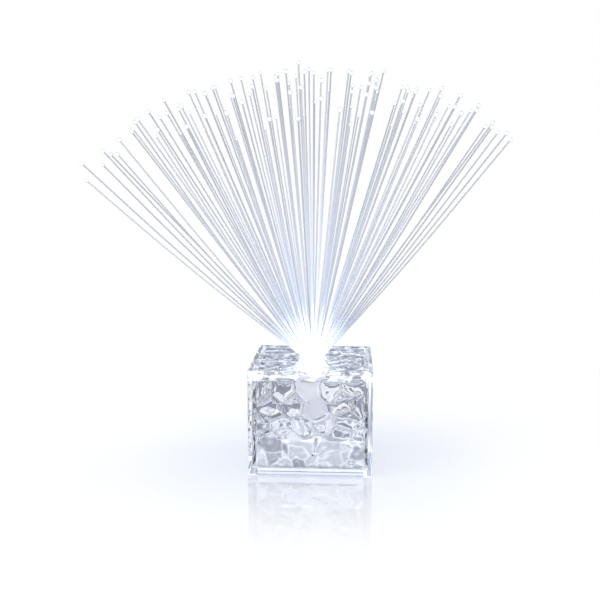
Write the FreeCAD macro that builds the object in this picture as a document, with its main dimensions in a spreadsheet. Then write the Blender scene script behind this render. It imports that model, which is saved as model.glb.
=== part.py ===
import FreeCAD, Part
import math
import os
import random
import re
import Sketcher

# Fiber optic lamp: a clear block with a relief of stones on its inner faces holds a spray of
# plastic fibers. A white LED shines into the bundle from a battery module in the block's foot.
# Millimetres, +Z up, front towards -Y, origin in the middle of the face that it stands on.

doc = FreeCAD.newDocument("FiberOpticLamp")
sheet = doc.addObject("Spreadsheet::Sheet", "Dims")

# ---------------------------------------------------------------------------------------------
# Driving dimensions
# ---------------------------------------------------------------------------------------------

DIMENSIONS = [
    # how far a cut or a joined pad runs past the face that it meets
    ("lap", 0.1),
    # clear block
    ("block_width", 60.0),
    ("block_height", 52.0),
    ("wall", 2.0),
    ("top_wall", 2.3),
    ("stone_rise", 2.0),
    ("rim_height", 3.4),
    ("edge_chamfer", 0.4),
    ("snap_length", 8.0),
    ("snap_height", 0.8),
    ("snap_reach", 0.5),
    ("snap_play", 0.15),
    # bundle of fibers and the sleeve that holds it
    ("fiber_dia", 0.75),
    ("fiber_gap", 0.06),
    ("fiber_reach", 145.0),
    ("bundle_depth", 12.0),
    ("fan_start", 0.3),
    ("mouth_rise", 0.4),
    ("bore_play", 0.2),
    ("sleeve_wall", 1.2),
    ("neck_play", 0.2),
    ("collar_width", 1.2),
    ("collar_thick", 2.0),
    ("barrel_depth", 14.0),
    ("spigot_dia", 10.4),
    ("light_bore_dia", 7.2),
    # light source
    ("led_dia", 5.0),
    ("led_flange_dia", 5.8),
    ("led_flange_thick", 1.0),
    ("led_height", 8.2),
    ("led_hat", 1.2),
    ("led_standoff", 0.6),
    ("lead_side", 0.5),
    ("lead_pitch", 2.54),
    ("lead_stub", 0.2),
    ("lead_play", 0.3),
    ("holder_wall", 1.7),
    ("holder_play", 0.1),
    ("holder_reach", 5.2),
    ("holder_flange_dia", 13.0),
    ("holder_flange_thick", 1.0),
    # battery module
    ("module_play", 0.2),
    ("rim_recess", 1.0),
    ("shell_wall", 1.5),
    ("floor_thick", 1.2),
    ("corner_radius", 1.2),
    ("partition", 1.2),
    ("bay_roof", 0.9),
    ("cover_thick", 1.0),
    ("cell_dia", 10.5),
    ("cell_length", 43.7),
    ("nub_dia", 3.8),
    ("nub_length", 0.8),
    ("cell_gap", 0.5),
    ("cell_play", 0.2),
    ("cell_rib", 1.0),
    ("rib_depth", 2.6),
    ("contact_thick", 0.4),
    ("contact_inset_y", 0.85),
    ("contact_inset_z", 1.0),
    ("leaf_width", 4.0),
    ("tongue_width", 2.2),
    ("leaf_half", 3.6),
    ("leaf_tip", 0.9),
    ("solder_stub", 0.3),
    ("door_play", 0.3),
    ("door_ledge", 1.7),
    ("tab_reach", 1.1),
    ("tab_width", 3.0),
    ("tab_thick", 0.8),
    ("tab_root", 1.6),
    ("tab_lift", 0.1),
    ("arm_thick", 0.8),
    ("arm_bulge", 0.15),
    ("latch_height", 1.4),
    ("grip_groove", 0.4),
    ("grip_width", 0.8),
    ("grip_length", 12.0),
    ("grip_inset", 4.0),
    # electronics
    ("board_thick", 0.8),
    ("board_back", 5.0),
    ("rail_width", 2.0),
    ("rail_place", 15.0),
    ("board_standoff", 0.3),
    ("cover_clear", 0.2),
    ("tongue_play", 0.3),
    ("resistor_length", 3.2),
    ("resistor_width", 1.6),
    ("resistor_thick", 0.5),
    ("switch_length", 8.6),
    ("switch_width", 4.4),
    ("switch_height", 3.5),
    ("switch_travel", 2.0),
    ("knob_length", 3.0),
    ("knob_width", 1.6),
    ("knob_clear", 0.4),
    ("knob_groove", 0.3),
    ("slot_play", 0.25),
    ("knob_root", 1.2),
    ("guide_thick", 1.0),
    ("guide_overhang", 1.0),
    ("knob_play", 0.2),
    ("pin_width", 0.8),
    ("pin_thick", 0.4),
    ("pin_length", 2.5),
    ("wire_dia", 1.0),
    # screws
    ("screw_dia", 2.0),
    ("screw_length", 7.0),
    ("head_dia", 4.0),
    ("head_thick", 1.3),
    ("head_play", 0.2),
    ("pilot_play", 0.04),
    ("boss_dia", 6.0),
    ("boss_height", 3.2),
    ("screw_inset", 4.2),
]
aliases = set()
for row, (alias, number) in enumerate(DIMENSIONS, start=1):
    sheet.set("A%d" % row, alias)
    sheet.set("B%d" % row, str(number))
    sheet.setAlias("B%d" % row, alias)
    aliases.add(alias)
doc.recompute()

# Counts, angles and seeds that shape the spray and the relief.
FIBER_RINGS = 6
SECTION_SIDES = 5
STRAIGHT_RINGS = 5
FAN_RIGHT = 41.0
FAN_LEFT_EXTRA = 12.0
FAN_DEPTH = 40.0
TUFT_EDGES = (-55.0, -41.0, -31.0, -24.0, -16.5, -7.4, 3.7, 13.8, 24.3, 33.0, 43.0)
TUFT_PULL = 0.8
FIBER_WOBBLE = 0.9
LENGTH_SPREAD = 0.03
KNEE_SHARE = 0.42
KNEE_BEND = 1.6
STONES_ACROSS = 5
STONES_UP = 5
STONE_WANDER = 0.3
STONE_GROOVE = 0.8
STONE_TAPER = 0.58
STONE_BITE = 0.3
SHORTEST_EDGE = 1.6
SMALLEST_STONE = 9.0
CELLS = 3

# Heights and places that several pieces share, as formulas of the dimensions above.
CAVITY = "(block_width - 2 * wall - 2 * stone_rise)"
MODULE = "(block_width - 2 * wall - 2 * stone_rise - 2 * module_play)"
INSIDE = "(%s - 2 * shell_wall)" % MODULE
FLOOR_TOP = "(rim_recess + floor_thick)"
CELL_AXIS = "(%s + cell_play + cell_dia / 2)" % FLOOR_TOP
ROOF_UNDER = "(%s + cell_play + cell_dia / 2)" % CELL_AXIS
ROOF_TOP = "(%s + bay_roof)" % ROOF_UNDER
BOARD_UNDER = "(%s + board_standoff)" % ROOF_TOP
BOARD_TOP = "(%s + board_thick)" % BOARD_UNDER
COVER_UNDER = "(%s + resistor_thick + cover_clear)" % BOARD_TOP
COVER_TOP = "(%s + cover_thick)" % COVER_UNDER
LED_FOOT = "(%s + led_standoff)" % BOARD_TOP
SLEEVE_FOOT = "(%s + holder_reach)" % COVER_TOP
CELL_PITCH = "(cell_dia + cell_gap)"
CONTACT_WIDTH = "(cell_dia - 2 * contact_inset_y)"
CONTACT_HEIGHT = "(cell_dia - 2 * contact_inset_z)"
BAY_FRONT = "(-%s / 2)" % INSIDE
FIRST_CELL = "(%s + cell_play + cell_dia / 2)" % BAY_FRONT
BAY_BACK = "(%s + %d * %s + cell_dia / 2 + cell_play)" % (FIRST_CELL, CELLS - 1, CELL_PITCH)
ANNEX_MIDDLE = "((%s + partition + %s / 2) / 2)" % (BAY_BACK, INSIDE)
SCREW_X = "(%s / 2 - screw_inset)" % INSIDE
SCREW_Y = "(%s / 2 - screw_inset)" % INSIDE
BUNDLE_DIA = "(2 * %d * (fiber_dia + fiber_gap) + fiber_dia)" % FIBER_RINGS
BORE_DIA = "(%s + bore_play)" % BUNDLE_DIA
BAY_DEPTH = "(%s - %s)" % (BAY_BACK, BAY_FRONT)
HATCH_LENGTH = "(%s - 2 * door_ledge)" % INSIDE
HATCH_WIDTH = "(%s - door_ledge)" % BAY_DEPTH
HATCH_MIDDLE = "((%s + %s + door_ledge) / 2)" % (BAY_FRONT, BAY_BACK)
BOSS_TOP = "(%s + boss_height)" % FLOOR_TOP
BOARD_FRONT = "(%s + %s / 2 - tongue_width - 2 * tongue_play)" % (FIRST_CELL, CONTACT_WIDTH)
TONGUE_PLACES = {
    "right": "(%s + %s / 2 - tongue_width / 2)" % (FIRST_CELL, CONTACT_WIDTH),
    "left": "(%s + %d * %s - %s / 2 + tongue_width / 2)" % (
        FIRST_CELL, CELLS - 1, CELL_PITCH, CONTACT_WIDTH),
}
SIDES = ((-1, "left"), (1, "right"))
NECK_DIA = "(%s + 2 * sleeve_wall)" % BORE_DIA
CEILING = "(block_height - top_wall - stone_rise)"
MOUTH = "(block_height + mouth_rise)"
SNAP_FOOT = "(%s - snap_height / 2)" % FLOOR_TOP


def size(alias):
    """A driving dimension as a number."""
    return float(sheet.get(alias))


def formula(text):
    """Put the sheet's name in front of each dimension in a formula."""
    return re.sub(r"[a-z_]+", lambda word: "Dims." + word.group() if word.group() in aliases
                  else word.group(), text)


def bind(item, sizes):
    """Bind properties of an object to formulas of the sheet."""
    for prop, text in sizes.items():
        item.setExpression(prop, formula(text))
    return item


# ---------------------------------------------------------------------------------------------
# Helpers: primitives, booleans and sketched features
# ---------------------------------------------------------------------------------------------

def box(name, length, width, height, x="0", y="0", z="0"):
    """A box that is centred on x and y and stands on z."""
    return bind(doc.addObject("Part::Box", name), {
        "Length": length, "Width": width, "Height": height,
        "Placement.Base.x": "(%s) - (%s) / 2" % (x, length),
        "Placement.Base.y": "(%s) - (%s) / 2" % (y, width),
        "Placement.Base.z": z})


def rod(name, diameter, height, x="0", y="0", z="0"):
    """An upright cylinder that stands on z."""
    return bind(doc.addObject("Part::Cylinder", name), {
        "Radius": "(%s) / 2" % diameter, "Height": height,
        "Placement.Base.x": x, "Placement.Base.y": y, "Placement.Base.z": z})


def join(name, pieces):
    """One shape from several, with separate solids left separate."""
    fused = doc.addObject("Part::MultiFuse", name)
    fused.Shapes = pieces
    return fused


def cut(name, base, tools):
    """The base less every tool."""
    result = doc.addObject("Part::Cut", name)
    result.Base = base
    result.Tool = tools[0] if len(tools) == 1 else join(name + "_tools", tools)
    return result


def group(name, pieces):
    """Separate solids kept together in one node."""
    result = doc.addObject("Part::Compound", name)
    result.Links = pieces
    return result


def new_body(name):
    return doc.addObject("PartDesign::Body", name)


def plane_of(body, role):
    return [item for item in body.Origin.OriginFeatures if item.Role == role][0]


def new_sketch(body, name, role, x="0", y="0", z="0"):
    """An empty sketch on one of the body's planes, shifted in that plane's own directions."""
    sketch = body.newObject("Sketcher::SketchObject", name)
    sketch.AttachmentSupport = (plane_of(body, role), [""])
    sketch.MapMode = "FlatFace"
    return bind(sketch, {"AttachmentOffset.Base.x": x, "AttachmentOffset.Base.y": y,
                         "AttachmentOffset.Base.z": z})


def limit(sketch, name, kind, places, text):
    """A named dimension in a sketch, bound to a formula."""
    index = sketch.addConstraint(Sketcher.Constraint(kind, *places, 1.0))
    sketch.renameConstraint(index, name)
    sketch.setExpression("Constraints." + name, formula(text))


def outline(sketch, corners):
    """A closed run of lines through some corners."""
    count = len(corners)
    for index in range(count):
        start = FreeCAD.Vector(*corners[index], 0)
        end = FreeCAD.Vector(*corners[(index + 1) % count], 0)
        sketch.addGeometry(Part.LineSegment(start, end), False)
    for index in range(count):
        sketch.addConstraint(Sketcher.Constraint("Coincident", index, 2, (index + 1) % count, 1))


def rectangle(body, name, width, depth, x="0", y="0", z="0"):
    """A rectangle in a level plane, centred on x and y."""
    sketch = new_sketch(body, name, "XY_Plane", x, y, z)
    outline(sketch, [(-9, -7), (9, -7), (9, 7), (-9, 7)])
    for line, kind in enumerate(["Horizontal", "Vertical", "Horizontal", "Vertical"]):
        sketch.addConstraint(Sketcher.Constraint(kind, line))
    sketch.addConstraint(Sketcher.Constraint("Symmetric", 0, 1, 2, 1, -1, 1))
    limit(sketch, "width", "DistanceX", (0, 1, 0, 2), width)
    limit(sketch, "depth", "DistanceY", (1, 1, 1, 2), depth)
    return sketch


def circle(body, name, diameter, x="0", y="0", z="0"):
    """A circle in a level plane."""
    sketch = new_sketch(body, name, "XY_Plane", x, y, z)
    sketch.addGeometry(Part.Circle(FreeCAD.Vector(0, 0, 0), FreeCAD.Vector(0, 0, 1), 3), False)
    sketch.addConstraint(Sketcher.Constraint("Coincident", 0, 3, -1, 1))
    limit(sketch, "across", "Diameter", (0,), diameter)
    return sketch


def profile(body, name, corners):
    """A half section beside the vertical axis, as (radius, height) formulas."""
    sketch = new_sketch(body, name, "XZ_Plane")
    outline(sketch, [(index + 1, 2 * index + index % 2) for index in range(len(corners))])
    for index, (radius, height) in enumerate(corners):
        if radius == "0":
            sketch.addConstraint(Sketcher.Constraint("PointOnObject", index, 1, -2))
        else:
            limit(sketch, "radius%d" % index, "DistanceX", (-1, 1, index, 1), radius)
        limit(sketch, "height%d" % index, "DistanceY", (-1, 1, index, 1), height)
    return sketch


def revolve(body, name, corners):
    """A turned piece: the half section swept once round the vertical axis."""
    sketch = profile(body, name + "_profile", corners)
    feature = body.newObject("PartDesign::Revolution", name)
    feature.Profile = sketch
    feature.ReferenceAxis = (sketch, ["V_Axis"])
    feature.Angle = 360.0
    return feature


def pad(body, name, sketch, height):
    """Material added upwards from a sketch."""
    feature = body.newObject("PartDesign::Pad", name)
    feature.Profile = sketch
    return bind(feature, {"Length": height})


def pocket(body, name, sketch, depth, upwards=True):
    """Material removed from a sketch, upwards unless told otherwise."""
    feature = body.newObject("PartDesign::Pocket", name)
    feature.Profile = sketch
    feature.Reversed = upwards
    return bind(feature, {"Length": depth})


def round_corners(body, name, feature):
    """Round the upright edges of a square pad."""
    doc.recompute()
    upright = []
    for number, edge in enumerate(feature.Shape.Edges, start=1):
        start, end = [vertex.Point for vertex in edge.Vertexes]
        if abs(start.x - end.x) < 1e-6 and abs(start.y - end.y) < 1e-6:
            upright.append("Edge%d" % number)
    rounding = body.newObject("PartDesign::Fillet", name)
    rounding.Base = (feature, upright)
    return bind(rounding, {"Radius": "corner_radius"})


nodes = []


def publish(item, name):
    """Give a finished sub-part its name and list it for export."""
    item.Label = name
    nodes.append(item)
    return item


# ---------------------------------------------------------------------------------------------
# Clear block: open below, with a stepped cavity and a relief of stones on its inner faces
# ---------------------------------------------------------------------------------------------

def clip(polygon, nx, ny, reach):
    """The part of a convex polygon where nx * x + ny * y is no more than reach."""
    kept = []
    for index, (x, y) in enumerate(polygon):
        last_x, last_y = polygon[index - 1]
        here = nx * x + ny * y - reach
        there = nx * last_x + ny * last_y - reach
        if (here > 0) != (there > 0):
            share = there / (there - here)
            kept.append((last_x + share * (x - last_x), last_y + share * (y - last_y)))
        if here <= 0:
            kept.append((x, y))
    return kept


def without_short_edges(polygon, shortest):
    """The polygon with each short edge closed up to its middle."""
    kept = list(polygon)
    index = 0
    while index < len(kept) and len(kept) > 3:
        (ax, ay), (bx, by) = kept[index - 1], kept[index]
        if math.hypot(bx - ax, by - ay) < shortest:
            kept[index - 1] = ((ax + bx) / 2, (ay + by) / 2)
            del kept[index]
            index = 0
        else:
            index += 1
    return kept


def area_of(polygon):
    return abs(sum(polygon[i - 1][0] * y - x * polygon[i - 1][1]
                   for i, (x, y) in enumerate(polygon))) / 2


def stone_outlines(width, height, seed, keep_off=0.0):
    """Irregular cells that fill a panel, a groove apart, each nearest to its own centre."""
    wander = random.Random(seed)
    step_u = width / STONES_ACROSS
    step_v = height / STONES_UP
    centres = []
    for row in range(STONES_UP):
        shift = 0.25 if row % 2 else -0.25
        for column in range(STONES_ACROSS):
            u = (column + 0.5 + shift * 0.8 + wander.uniform(-STONE_WANDER, STONE_WANDER)) * step_u
            v = (row + 0.5 + wander.uniform(-STONE_WANDER, STONE_WANDER)) * step_v
            centres.append((u - width / 2, v - height / 2))
    panel = [(-width / 2, -height / 2), (width / 2, -height / 2),
             (width / 2, height / 2), (-width / 2, height / 2)]
    outlines = []
    for u, v in centres:
        cell = panel
        for other_u, other_v in centres:
            apart = math.hypot(other_u - u, other_v - v)
            if apart > 0:
                nx, ny = (other_u - u) / apart, (other_v - v) / apart
                reach = nx * (u + other_u) / 2 + ny * (v + other_v) / 2 - STONE_GROOVE / 2
                cell = clip(cell, nx, ny, reach)
        from_hole = math.hypot(u, v)
        if keep_off and from_hole > 0:
            cell = clip(cell, -u / from_hole, -v / from_hole, -keep_off)
        if len(cell) > 2:
            cell = without_short_edges(cell, SHORTEST_EDGE)
            if area_of(cell) > SMALLEST_STONE:
                outlines.append(cell)
    return outlines


def faceted_solid(rings):
    """A closed solid with flat sides between rings of as many points each."""
    count = len(rings[0])
    faces = [Part.Face(Part.makePolygon(ring + ring[:1])) for ring in (rings[0], rings[-1])]
    for lower, upper in zip(rings, rings[1:]):
        for index in range(count):
            after = (index + 1) % count
            side = [lower[index], lower[after], upper[after], upper[index], lower[index]]
            faces.append(Part.Face(Part.makePolygon(side)))
    solid = Part.Solid(Part.Shell(faces))
    if solid.Volume < 0:
        solid.reverse()
    return solid


def stone(cell, place):
    """A low stone with sloping sides, rooted a little way inside the wall behind it."""
    middle_u = sum(u for u, v in cell) / len(cell)
    middle_v = sum(v for u, v in cell) / len(cell)
    rings = []
    for depth, share in ((-STONE_BITE, 1.0), (0.0, 1.0), (size("stone_rise"), STONE_TAPER)):
        rings.append([place(middle_u + share * (u - middle_u), middle_v + share * (v - middle_v),
                            depth) for u, v in cell])
    return faceted_solid(rings)


def relief_shape():
    """The stones of the four walls and of the ceiling."""
    face = size("block_width") / 2 - size("wall")
    corner = size("stone_rise") + STONE_GROOVE / 2
    foot = size("rim_height") + STONE_GROOVE / 2
    ceiling = size("block_height") - size("top_wall")
    wide = 2 * (face - corner)
    tall = ceiling - corner - foot
    middle = foot + tall / 2
    bundle = 2 * FIBER_RINGS * (size("fiber_dia") + size("fiber_gap")) + size("fiber_dia")
    collar = bundle / 2 + size("bore_play") / 2 + size("sleeve_wall") + size("collar_width")
    walls = [
        lambda u, v, depth: FreeCAD.Vector(u, -face + depth, middle + v),
        lambda u, v, depth: FreeCAD.Vector(face - depth, u, middle + v),
        lambda u, v, depth: FreeCAD.Vector(-u, face - depth, middle + v),
        lambda u, v, depth: FreeCAD.Vector(-face + depth, -u, middle + v),
    ]
    stones = []
    for seed, place in enumerate(walls, start=11):
        stones += [stone(cell, place) for cell in stone_outlines(wide, tall, seed)]
    for cell in stone_outlines(wide, wide, 15, collar + STONE_GROOVE):
        stones.append(stone(cell, lambda u, v, depth: FreeCAD.Vector(u, v, ceiling - depth)))
    return Part.makeCompound(stones)


def clear_block():
    body = new_body("block_body")
    cube = pad(body, "block_solid", rectangle(body, "block_square", "block_width", "block_width"),
               "block_height")
    doc.recompute()
    broken = body.newObject("PartDesign::Chamfer", "broken_edges")
    broken.Base = (cube, ["Edge%d" % (number + 1) for number in range(len(cube.Shape.Edges))])
    bind(broken, {"Size": "edge_chamfer"})
    mouth = rectangle(body, "rim_square", CAVITY, CAVITY)
    pocket(body, "rim_opening", mouth, CEILING)
    cavity = "block_width - 2 * wall"
    inner = rectangle(body, "cavity_square", cavity, cavity, z="rim_height")
    pocket(body, "cavity", inner, "block_height - top_wall - rim_height")
    hole = circle(body, "neck_circle", "%s + neck_play" % NECK_DIA, z="block_height")
    pocket(body, "neck_hole", hole, "top_wall + stone_rise", upwards=False)

    relief = doc.addObject("Part::Feature", "stone_relief")
    relief.Shape = relief_shape()
    ring = cut("collar_seat", rod("seat_disc", "%s + 2 * collar_width" % NECK_DIA,
                                  "stone_rise + 2 * lap", z=CEILING),
               [rod("seat_hole", "%s + neck_play" % NECK_DIA, "stone_rise + 3 * lap", z=CEILING)])
    relieved = join("relieved_block", [body, relief, ring])
    # Each bar cuts the snap notches of two opposite sides; between them it meets only air.
    notch_span = "%s + 2 * snap_reach" % CAVITY
    notch_height = "snap_height + 2 * snap_play"
    notch_foot = "%s - snap_play" % SNAP_FOOT
    notch_length = "snap_length + 2 * snap_play"
    notches = [box("notches_left_right", notch_span, notch_length, notch_height, z=notch_foot),
               box("notches_front_back", notch_length, notch_span, notch_height, z=notch_foot)]
    return cut("clear_block", relieved, notches)


publish(clear_block(), "cube_shell")

# ---------------------------------------------------------------------------------------------
# Sleeve that holds the bundle, and the light source under it
# ---------------------------------------------------------------------------------------------

sleeve = new_body("sleeve_body")
revolve(sleeve, "sleeve_turning", [
    ("light_bore_dia / 2", SLEEVE_FOOT),
    ("spigot_dia / 2", SLEEVE_FOOT),
    ("spigot_dia / 2", "%s - barrel_depth" % MOUTH),
    ("%s / 2" % NECK_DIA, "%s - barrel_depth" % MOUTH),
    ("%s / 2" % NECK_DIA, "%s - collar_thick" % CEILING),
    ("%s / 2 + collar_width" % NECK_DIA, "%s - collar_thick" % CEILING),
    ("%s / 2 + collar_width" % NECK_DIA, CEILING),
    ("%s / 2" % NECK_DIA, CEILING),
    ("%s / 2" % NECK_DIA, MOUTH),
    ("%s / 2" % BORE_DIA, MOUTH),
    ("%s / 2" % BORE_DIA, "%s - bundle_depth" % MOUTH),
    ("light_bore_dia / 2", "%s - bundle_depth" % MOUTH),
])
publish(sleeve, "ferrule")

led = new_body("led_body")
LED_TOP = "(%s + led_height)" % LED_FOOT
revolve(led, "led_turning", [
    ("0", LED_FOOT),
    ("led_flange_dia / 2", LED_FOOT),
    ("led_flange_dia / 2", "%s + led_flange_thick" % LED_FOOT),
    ("led_dia / 2", "%s + led_flange_thick" % LED_FOOT),
    ("led_dia / 2", "%s - led_hat" % LED_TOP),
    ("led_dia / 2 - led_hat", LED_TOP),
    ("0", LED_TOP),
])
publish(led, "led")

lead_height = "(%s - %s + lead_stub)" % (LED_FOOT, BOARD_UNDER)
publish(group("led_lead_pair", [
    box("lead_" + hand, "lead_side", "lead_side", lead_height, "%d * lead_pitch / 2" % side, "0",
        "%s - lead_stub" % BOARD_UNDER) for side, hand in SIDES
]), "led_leads")

holder = new_body("holder_body")
LED_HOLE = "(led_dia + holder_play)"
revolve(holder, "holder_turning", [
    ("%s / 2" % LED_HOLE, COVER_TOP),
    ("holder_flange_dia / 2", COVER_TOP),
    ("holder_flange_dia / 2", "%s + holder_flange_thick" % COVER_TOP),
    ("%s / 2 + holder_wall" % LED_HOLE, "%s + holder_flange_thick" % COVER_TOP),
    ("%s / 2 + holder_wall" % LED_HOLE, SLEEVE_FOOT),
    ("%s / 2" % LED_HOLE, SLEEVE_FOOT),
])
publish(holder, "led_holder")


# ---------------------------------------------------------------------------------------------
# Fibers: a hexagonal bundle that opens into a fan of tufts above the mouth
# ---------------------------------------------------------------------------------------------

def ring_places(ring):
    """Places of one ring of a hexagonal bundle, in units of its pitch."""
    if ring == 0:
        return [(0.0, 0.0)]
    corners = [(ring * math.cos(math.radians(60 * k)), ring * math.sin(math.radians(60 * k)))
               for k in range(7)]
    places = []
    for (ax, ay), (bx, by) in zip(corners, corners[1:]):
        for step in range(ring):
            share = step / ring
            places.append((ax + share * (bx - ax), ay + share * (by - ay)))
    return places


def into_tuft(angle):
    """Draw a fan angle towards the middle of the tuft that it falls in."""
    for low, high in zip(TUFT_EDGES, TUFT_EDGES[1:]):
        if low <= angle <= high:
            middle = (low + high) / 2
            return middle + TUFT_PULL * (angle - middle)
    return angle


def heading(fan, depth):
    """Unit vector that leans by fan to the right and by depth to the back, in degrees."""
    lean = FreeCAD.Vector(math.tan(math.radians(fan)), math.tan(math.radians(depth)), 1)
    return lean.normalize()


def fiber_route(place, ring, chance):
    """Corner points of one fiber: foot, mouth, knee and tip, or without a knee if straight."""
    pitch = size("fiber_dia") + size("fiber_gap")
    across = place[0] / FIBER_RINGS
    along = place[1] / FIBER_RINGS
    fan = FAN_RIGHT * across - (FAN_LEFT_EXTRA * across ** 2 if across < 0 else 0)
    fan = into_tuft(fan) + chance.uniform(-FIBER_WOBBLE, FIBER_WOBBLE)
    depth = FAN_DEPTH * along + chance.uniform(-FIBER_WOBBLE, FIBER_WOBBLE)
    reach = size("fiber_reach") * (1 + chance.uniform(-LENGTH_SPREAD, LENGTH_SPREAD / 2))
    mouth_z = size("block_height") + size("mouth_rise")
    mouth = FreeCAD.Vector(place[0] * pitch, place[1] * pitch, mouth_z + size("fan_start"))
    foot = FreeCAD.Vector(mouth.x, mouth.y, mouth_z - size("bundle_depth"))
    if ring <= STRAIGHT_RINGS:
        return [foot, mouth, mouth + heading(fan, depth) * reach]
    bend = KNEE_BEND * math.hypot(fan, depth) / FAN_RIGHT
    turn_fan = bend * fan / math.hypot(fan, depth)
    turn_depth = bend * depth / math.hypot(fan, depth)
    lower = heading(fan + turn_fan, depth + turn_depth)
    upper = heading(fan - turn_fan, depth - turn_depth)
    knee = mouth + lower * (reach * KNEE_SHARE)
    return [foot, mouth, knee, knee + upper * (reach * (1 - KNEE_SHARE))]


def mitred_rod(route, diameter):
    """A many-sided rod along straight runs, with each corner cut on the mitre."""
    runs = [(end - start).normalize() for start, end in zip(route, route[1:])]
    ring = [route[0] + FreeCAD.Vector(diameter / 2 * math.cos(2 * math.pi * k / SECTION_SIDES),
                                      diameter / 2 * math.sin(2 * math.pi * k / SECTION_SIDES), 0)
            for k in range(SECTION_SIDES)]
    rings = [ring]
    for index, run in enumerate(runs):
        onward = runs[index + 1] if index + 1 < len(runs) else run
        normal = run + onward
        ring = [corner + run * ((route[index + 1] - corner).dot(normal) / run.dot(normal))
                for corner in ring]
        rings.append(ring)
    return faceted_solid(rings)


chance = random.Random(4)
for ring in range(FIBER_RINGS + 1):
    rods = [mitred_rod(fiber_route(place, ring, chance), size("fiber_dia"))
            for place in ring_places(ring)]
    fibers = doc.addObject("Part::Feature", "fiber_ring_%d" % ring)
    fibers.Shape = Part.makeCompound(rods) if len(rods) > 1 else rods[0]
    publish(fibers, "fibers_ring_%d" % ring)

# ---------------------------------------------------------------------------------------------
# Battery module: a housing open at the top, its cover, and a door in its floor
# ---------------------------------------------------------------------------------------------

housing = new_body("housing_body")
outer = rectangle(housing, "housing_square", MODULE, MODULE, z="rim_recess")
outer_pad = pad(housing, "housing_solid", outer, "%s - rim_recess" % COVER_UNDER)
round_corners(housing, "housing_corners", outer_pad)
# Each bar makes the snaps of two opposite sides: flat below, where they bear, and sloping above.
snap_tip = "(%s / 2 + snap_reach - snap_play)" % CAVITY
for name, role in (("snaps_left_right", "XZ_Plane"), ("snaps_front_back", "YZ_Plane")):
    wedge = new_sketch(housing, name + "_wedge", role)
    outline(wedge, [(-26, 2), (26, 2), (25, 3), (-25, 3)])
    for index, (u, v) in enumerate([
            ("-" + snap_tip, SNAP_FOOT), (snap_tip, SNAP_FOOT),
            ("%s / 2" % MODULE, "%s + snap_height" % SNAP_FOOT),
            ("-%s / 2" % MODULE, "%s + snap_height" % SNAP_FOOT)]):
        limit(wedge, "out%d" % index, "DistanceX", (-1, 1, index, 1), u)
        limit(wedge, "up%d" % index, "DistanceY", (-1, 1, index, 1), v)
    pad(housing, name, wedge, "snap_length").Midplane = True
pocket(housing, "housing_room", rectangle(housing, "room_square", INSIDE, INSIDE, z=FLOOR_TOP),
       "%s - %s" % (COVER_UNDER, FLOOR_TOP))

# The bay's partition and roof run a little into the housing's walls, so that they join them.
rib = rectangle(housing, "partition_rectangle", "%s + 2 * lap" % INSIDE, "partition",
                y="%s + partition / 2" % BAY_BACK, z="%s - lap" % FLOOR_TOP)
pad(housing, "bay_partition", rib, "%s - %s + 2 * lap" % (ROOF_UNDER, FLOOR_TOP))
roof = rectangle(housing, "roof_rectangle", "%s + 2 * lap" % INSIDE,
                 "%s + partition + lap" % BAY_DEPTH,
                 y="(%s + %s + partition - lap) / 2" % (BAY_FRONT, BAY_BACK), z=ROOF_UNDER)
pad(housing, "bay_roof_plate", roof, "bay_roof")
for number in range(CELLS - 1):
    valley = "(%s + (%d + 0.5) * %s)" % (FIRST_CELL, number, CELL_PITCH)
    rib = rectangle(housing, "rib_rectangle_%d" % number, "cell_length - 2 * tab_width", "cell_rib",
                    y=valley, z="%s - rib_depth" % ROOF_UNDER)
    pad(housing, "cell_rib_%d" % number, rib, "rib_depth + bay_roof / 2")
hatch = rectangle(housing, "hatch_rectangle", HATCH_LENGTH, HATCH_WIDTH, y=HATCH_MIDDLE,
                  z="rim_recess - lap")
pocket(housing, "hatch", hatch, "floor_thick + 2 * lap")
slot = rectangle(housing, "slot_rectangle", "knob_length + switch_travel + 2 * slot_play",
                 "knob_width + 2 * slot_play", y=ANNEX_MIDDLE, z="rim_recess - lap")
pocket(housing, "knob_slot", slot, "floor_thick + 2 * lap")
for side, hand in SIDES:
    screw_x = "%d * %s" % (side, SCREW_X)
    boss = circle(housing, "boss_circle_" + hand, "boss_dia", screw_x, SCREW_Y,
                  "%s - lap" % FLOOR_TOP)
    pad(housing, "screw_boss_" + hand, boss, "boss_height + lap")
    sink = circle(housing, "sink_circle_" + hand, "head_dia + 2 * head_play", screw_x, SCREW_Y,
                  "rim_recess - lap")
    pocket(housing, "head_sink_" + hand, sink, "head_thick + head_play + lap")
    shaft = circle(housing, "shaft_circle_" + hand, "screw_dia + 2 * head_play", screw_x, SCREW_Y,
                   "rim_recess - lap")
    pocket(housing, "shaft_hole_" + hand, shaft, "floor_thick + boss_height + 2 * lap")
    guide = rectangle(housing, "guide_rectangle_" + hand, "guide_thick",
                      "switch_width + 2 * guide_overhang",
                      "%d * (switch_length / 2 + snap_play + guide_thick / 2)" % side,
                      ANNEX_MIDDLE, "%s - lap" % FLOOR_TOP)
    pad(housing, "switch_guide_" + hand, guide, "switch_height")
    opening = rectangle(housing, "tongue_opening_" + hand, "contact_thick + tongue_play",
                        "tongue_width + 2 * tongue_play",
                        "%d * (%s / 2 - contact_thick / 2 - tongue_play / 2)" % (side, INSIDE),
                        TONGUE_PLACES[hand], "%s - lap" % ROOF_UNDER)
    pocket(housing, "tongue_slot_" + hand, opening, "bay_roof + 2 * lap")
    rail = rectangle(housing, "rail_rectangle_" + hand, "rail_width", "board_back - %s" % BOARD_FRONT,
                     "%d * rail_place" % side, "(board_back + %s) / 2" % BOARD_FRONT,
                     "%s - lap" % ROOF_TOP)
    pad(housing, "board_rail_" + hand, rail, "board_standoff + lap")
publish(housing, "base_housing")

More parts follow.
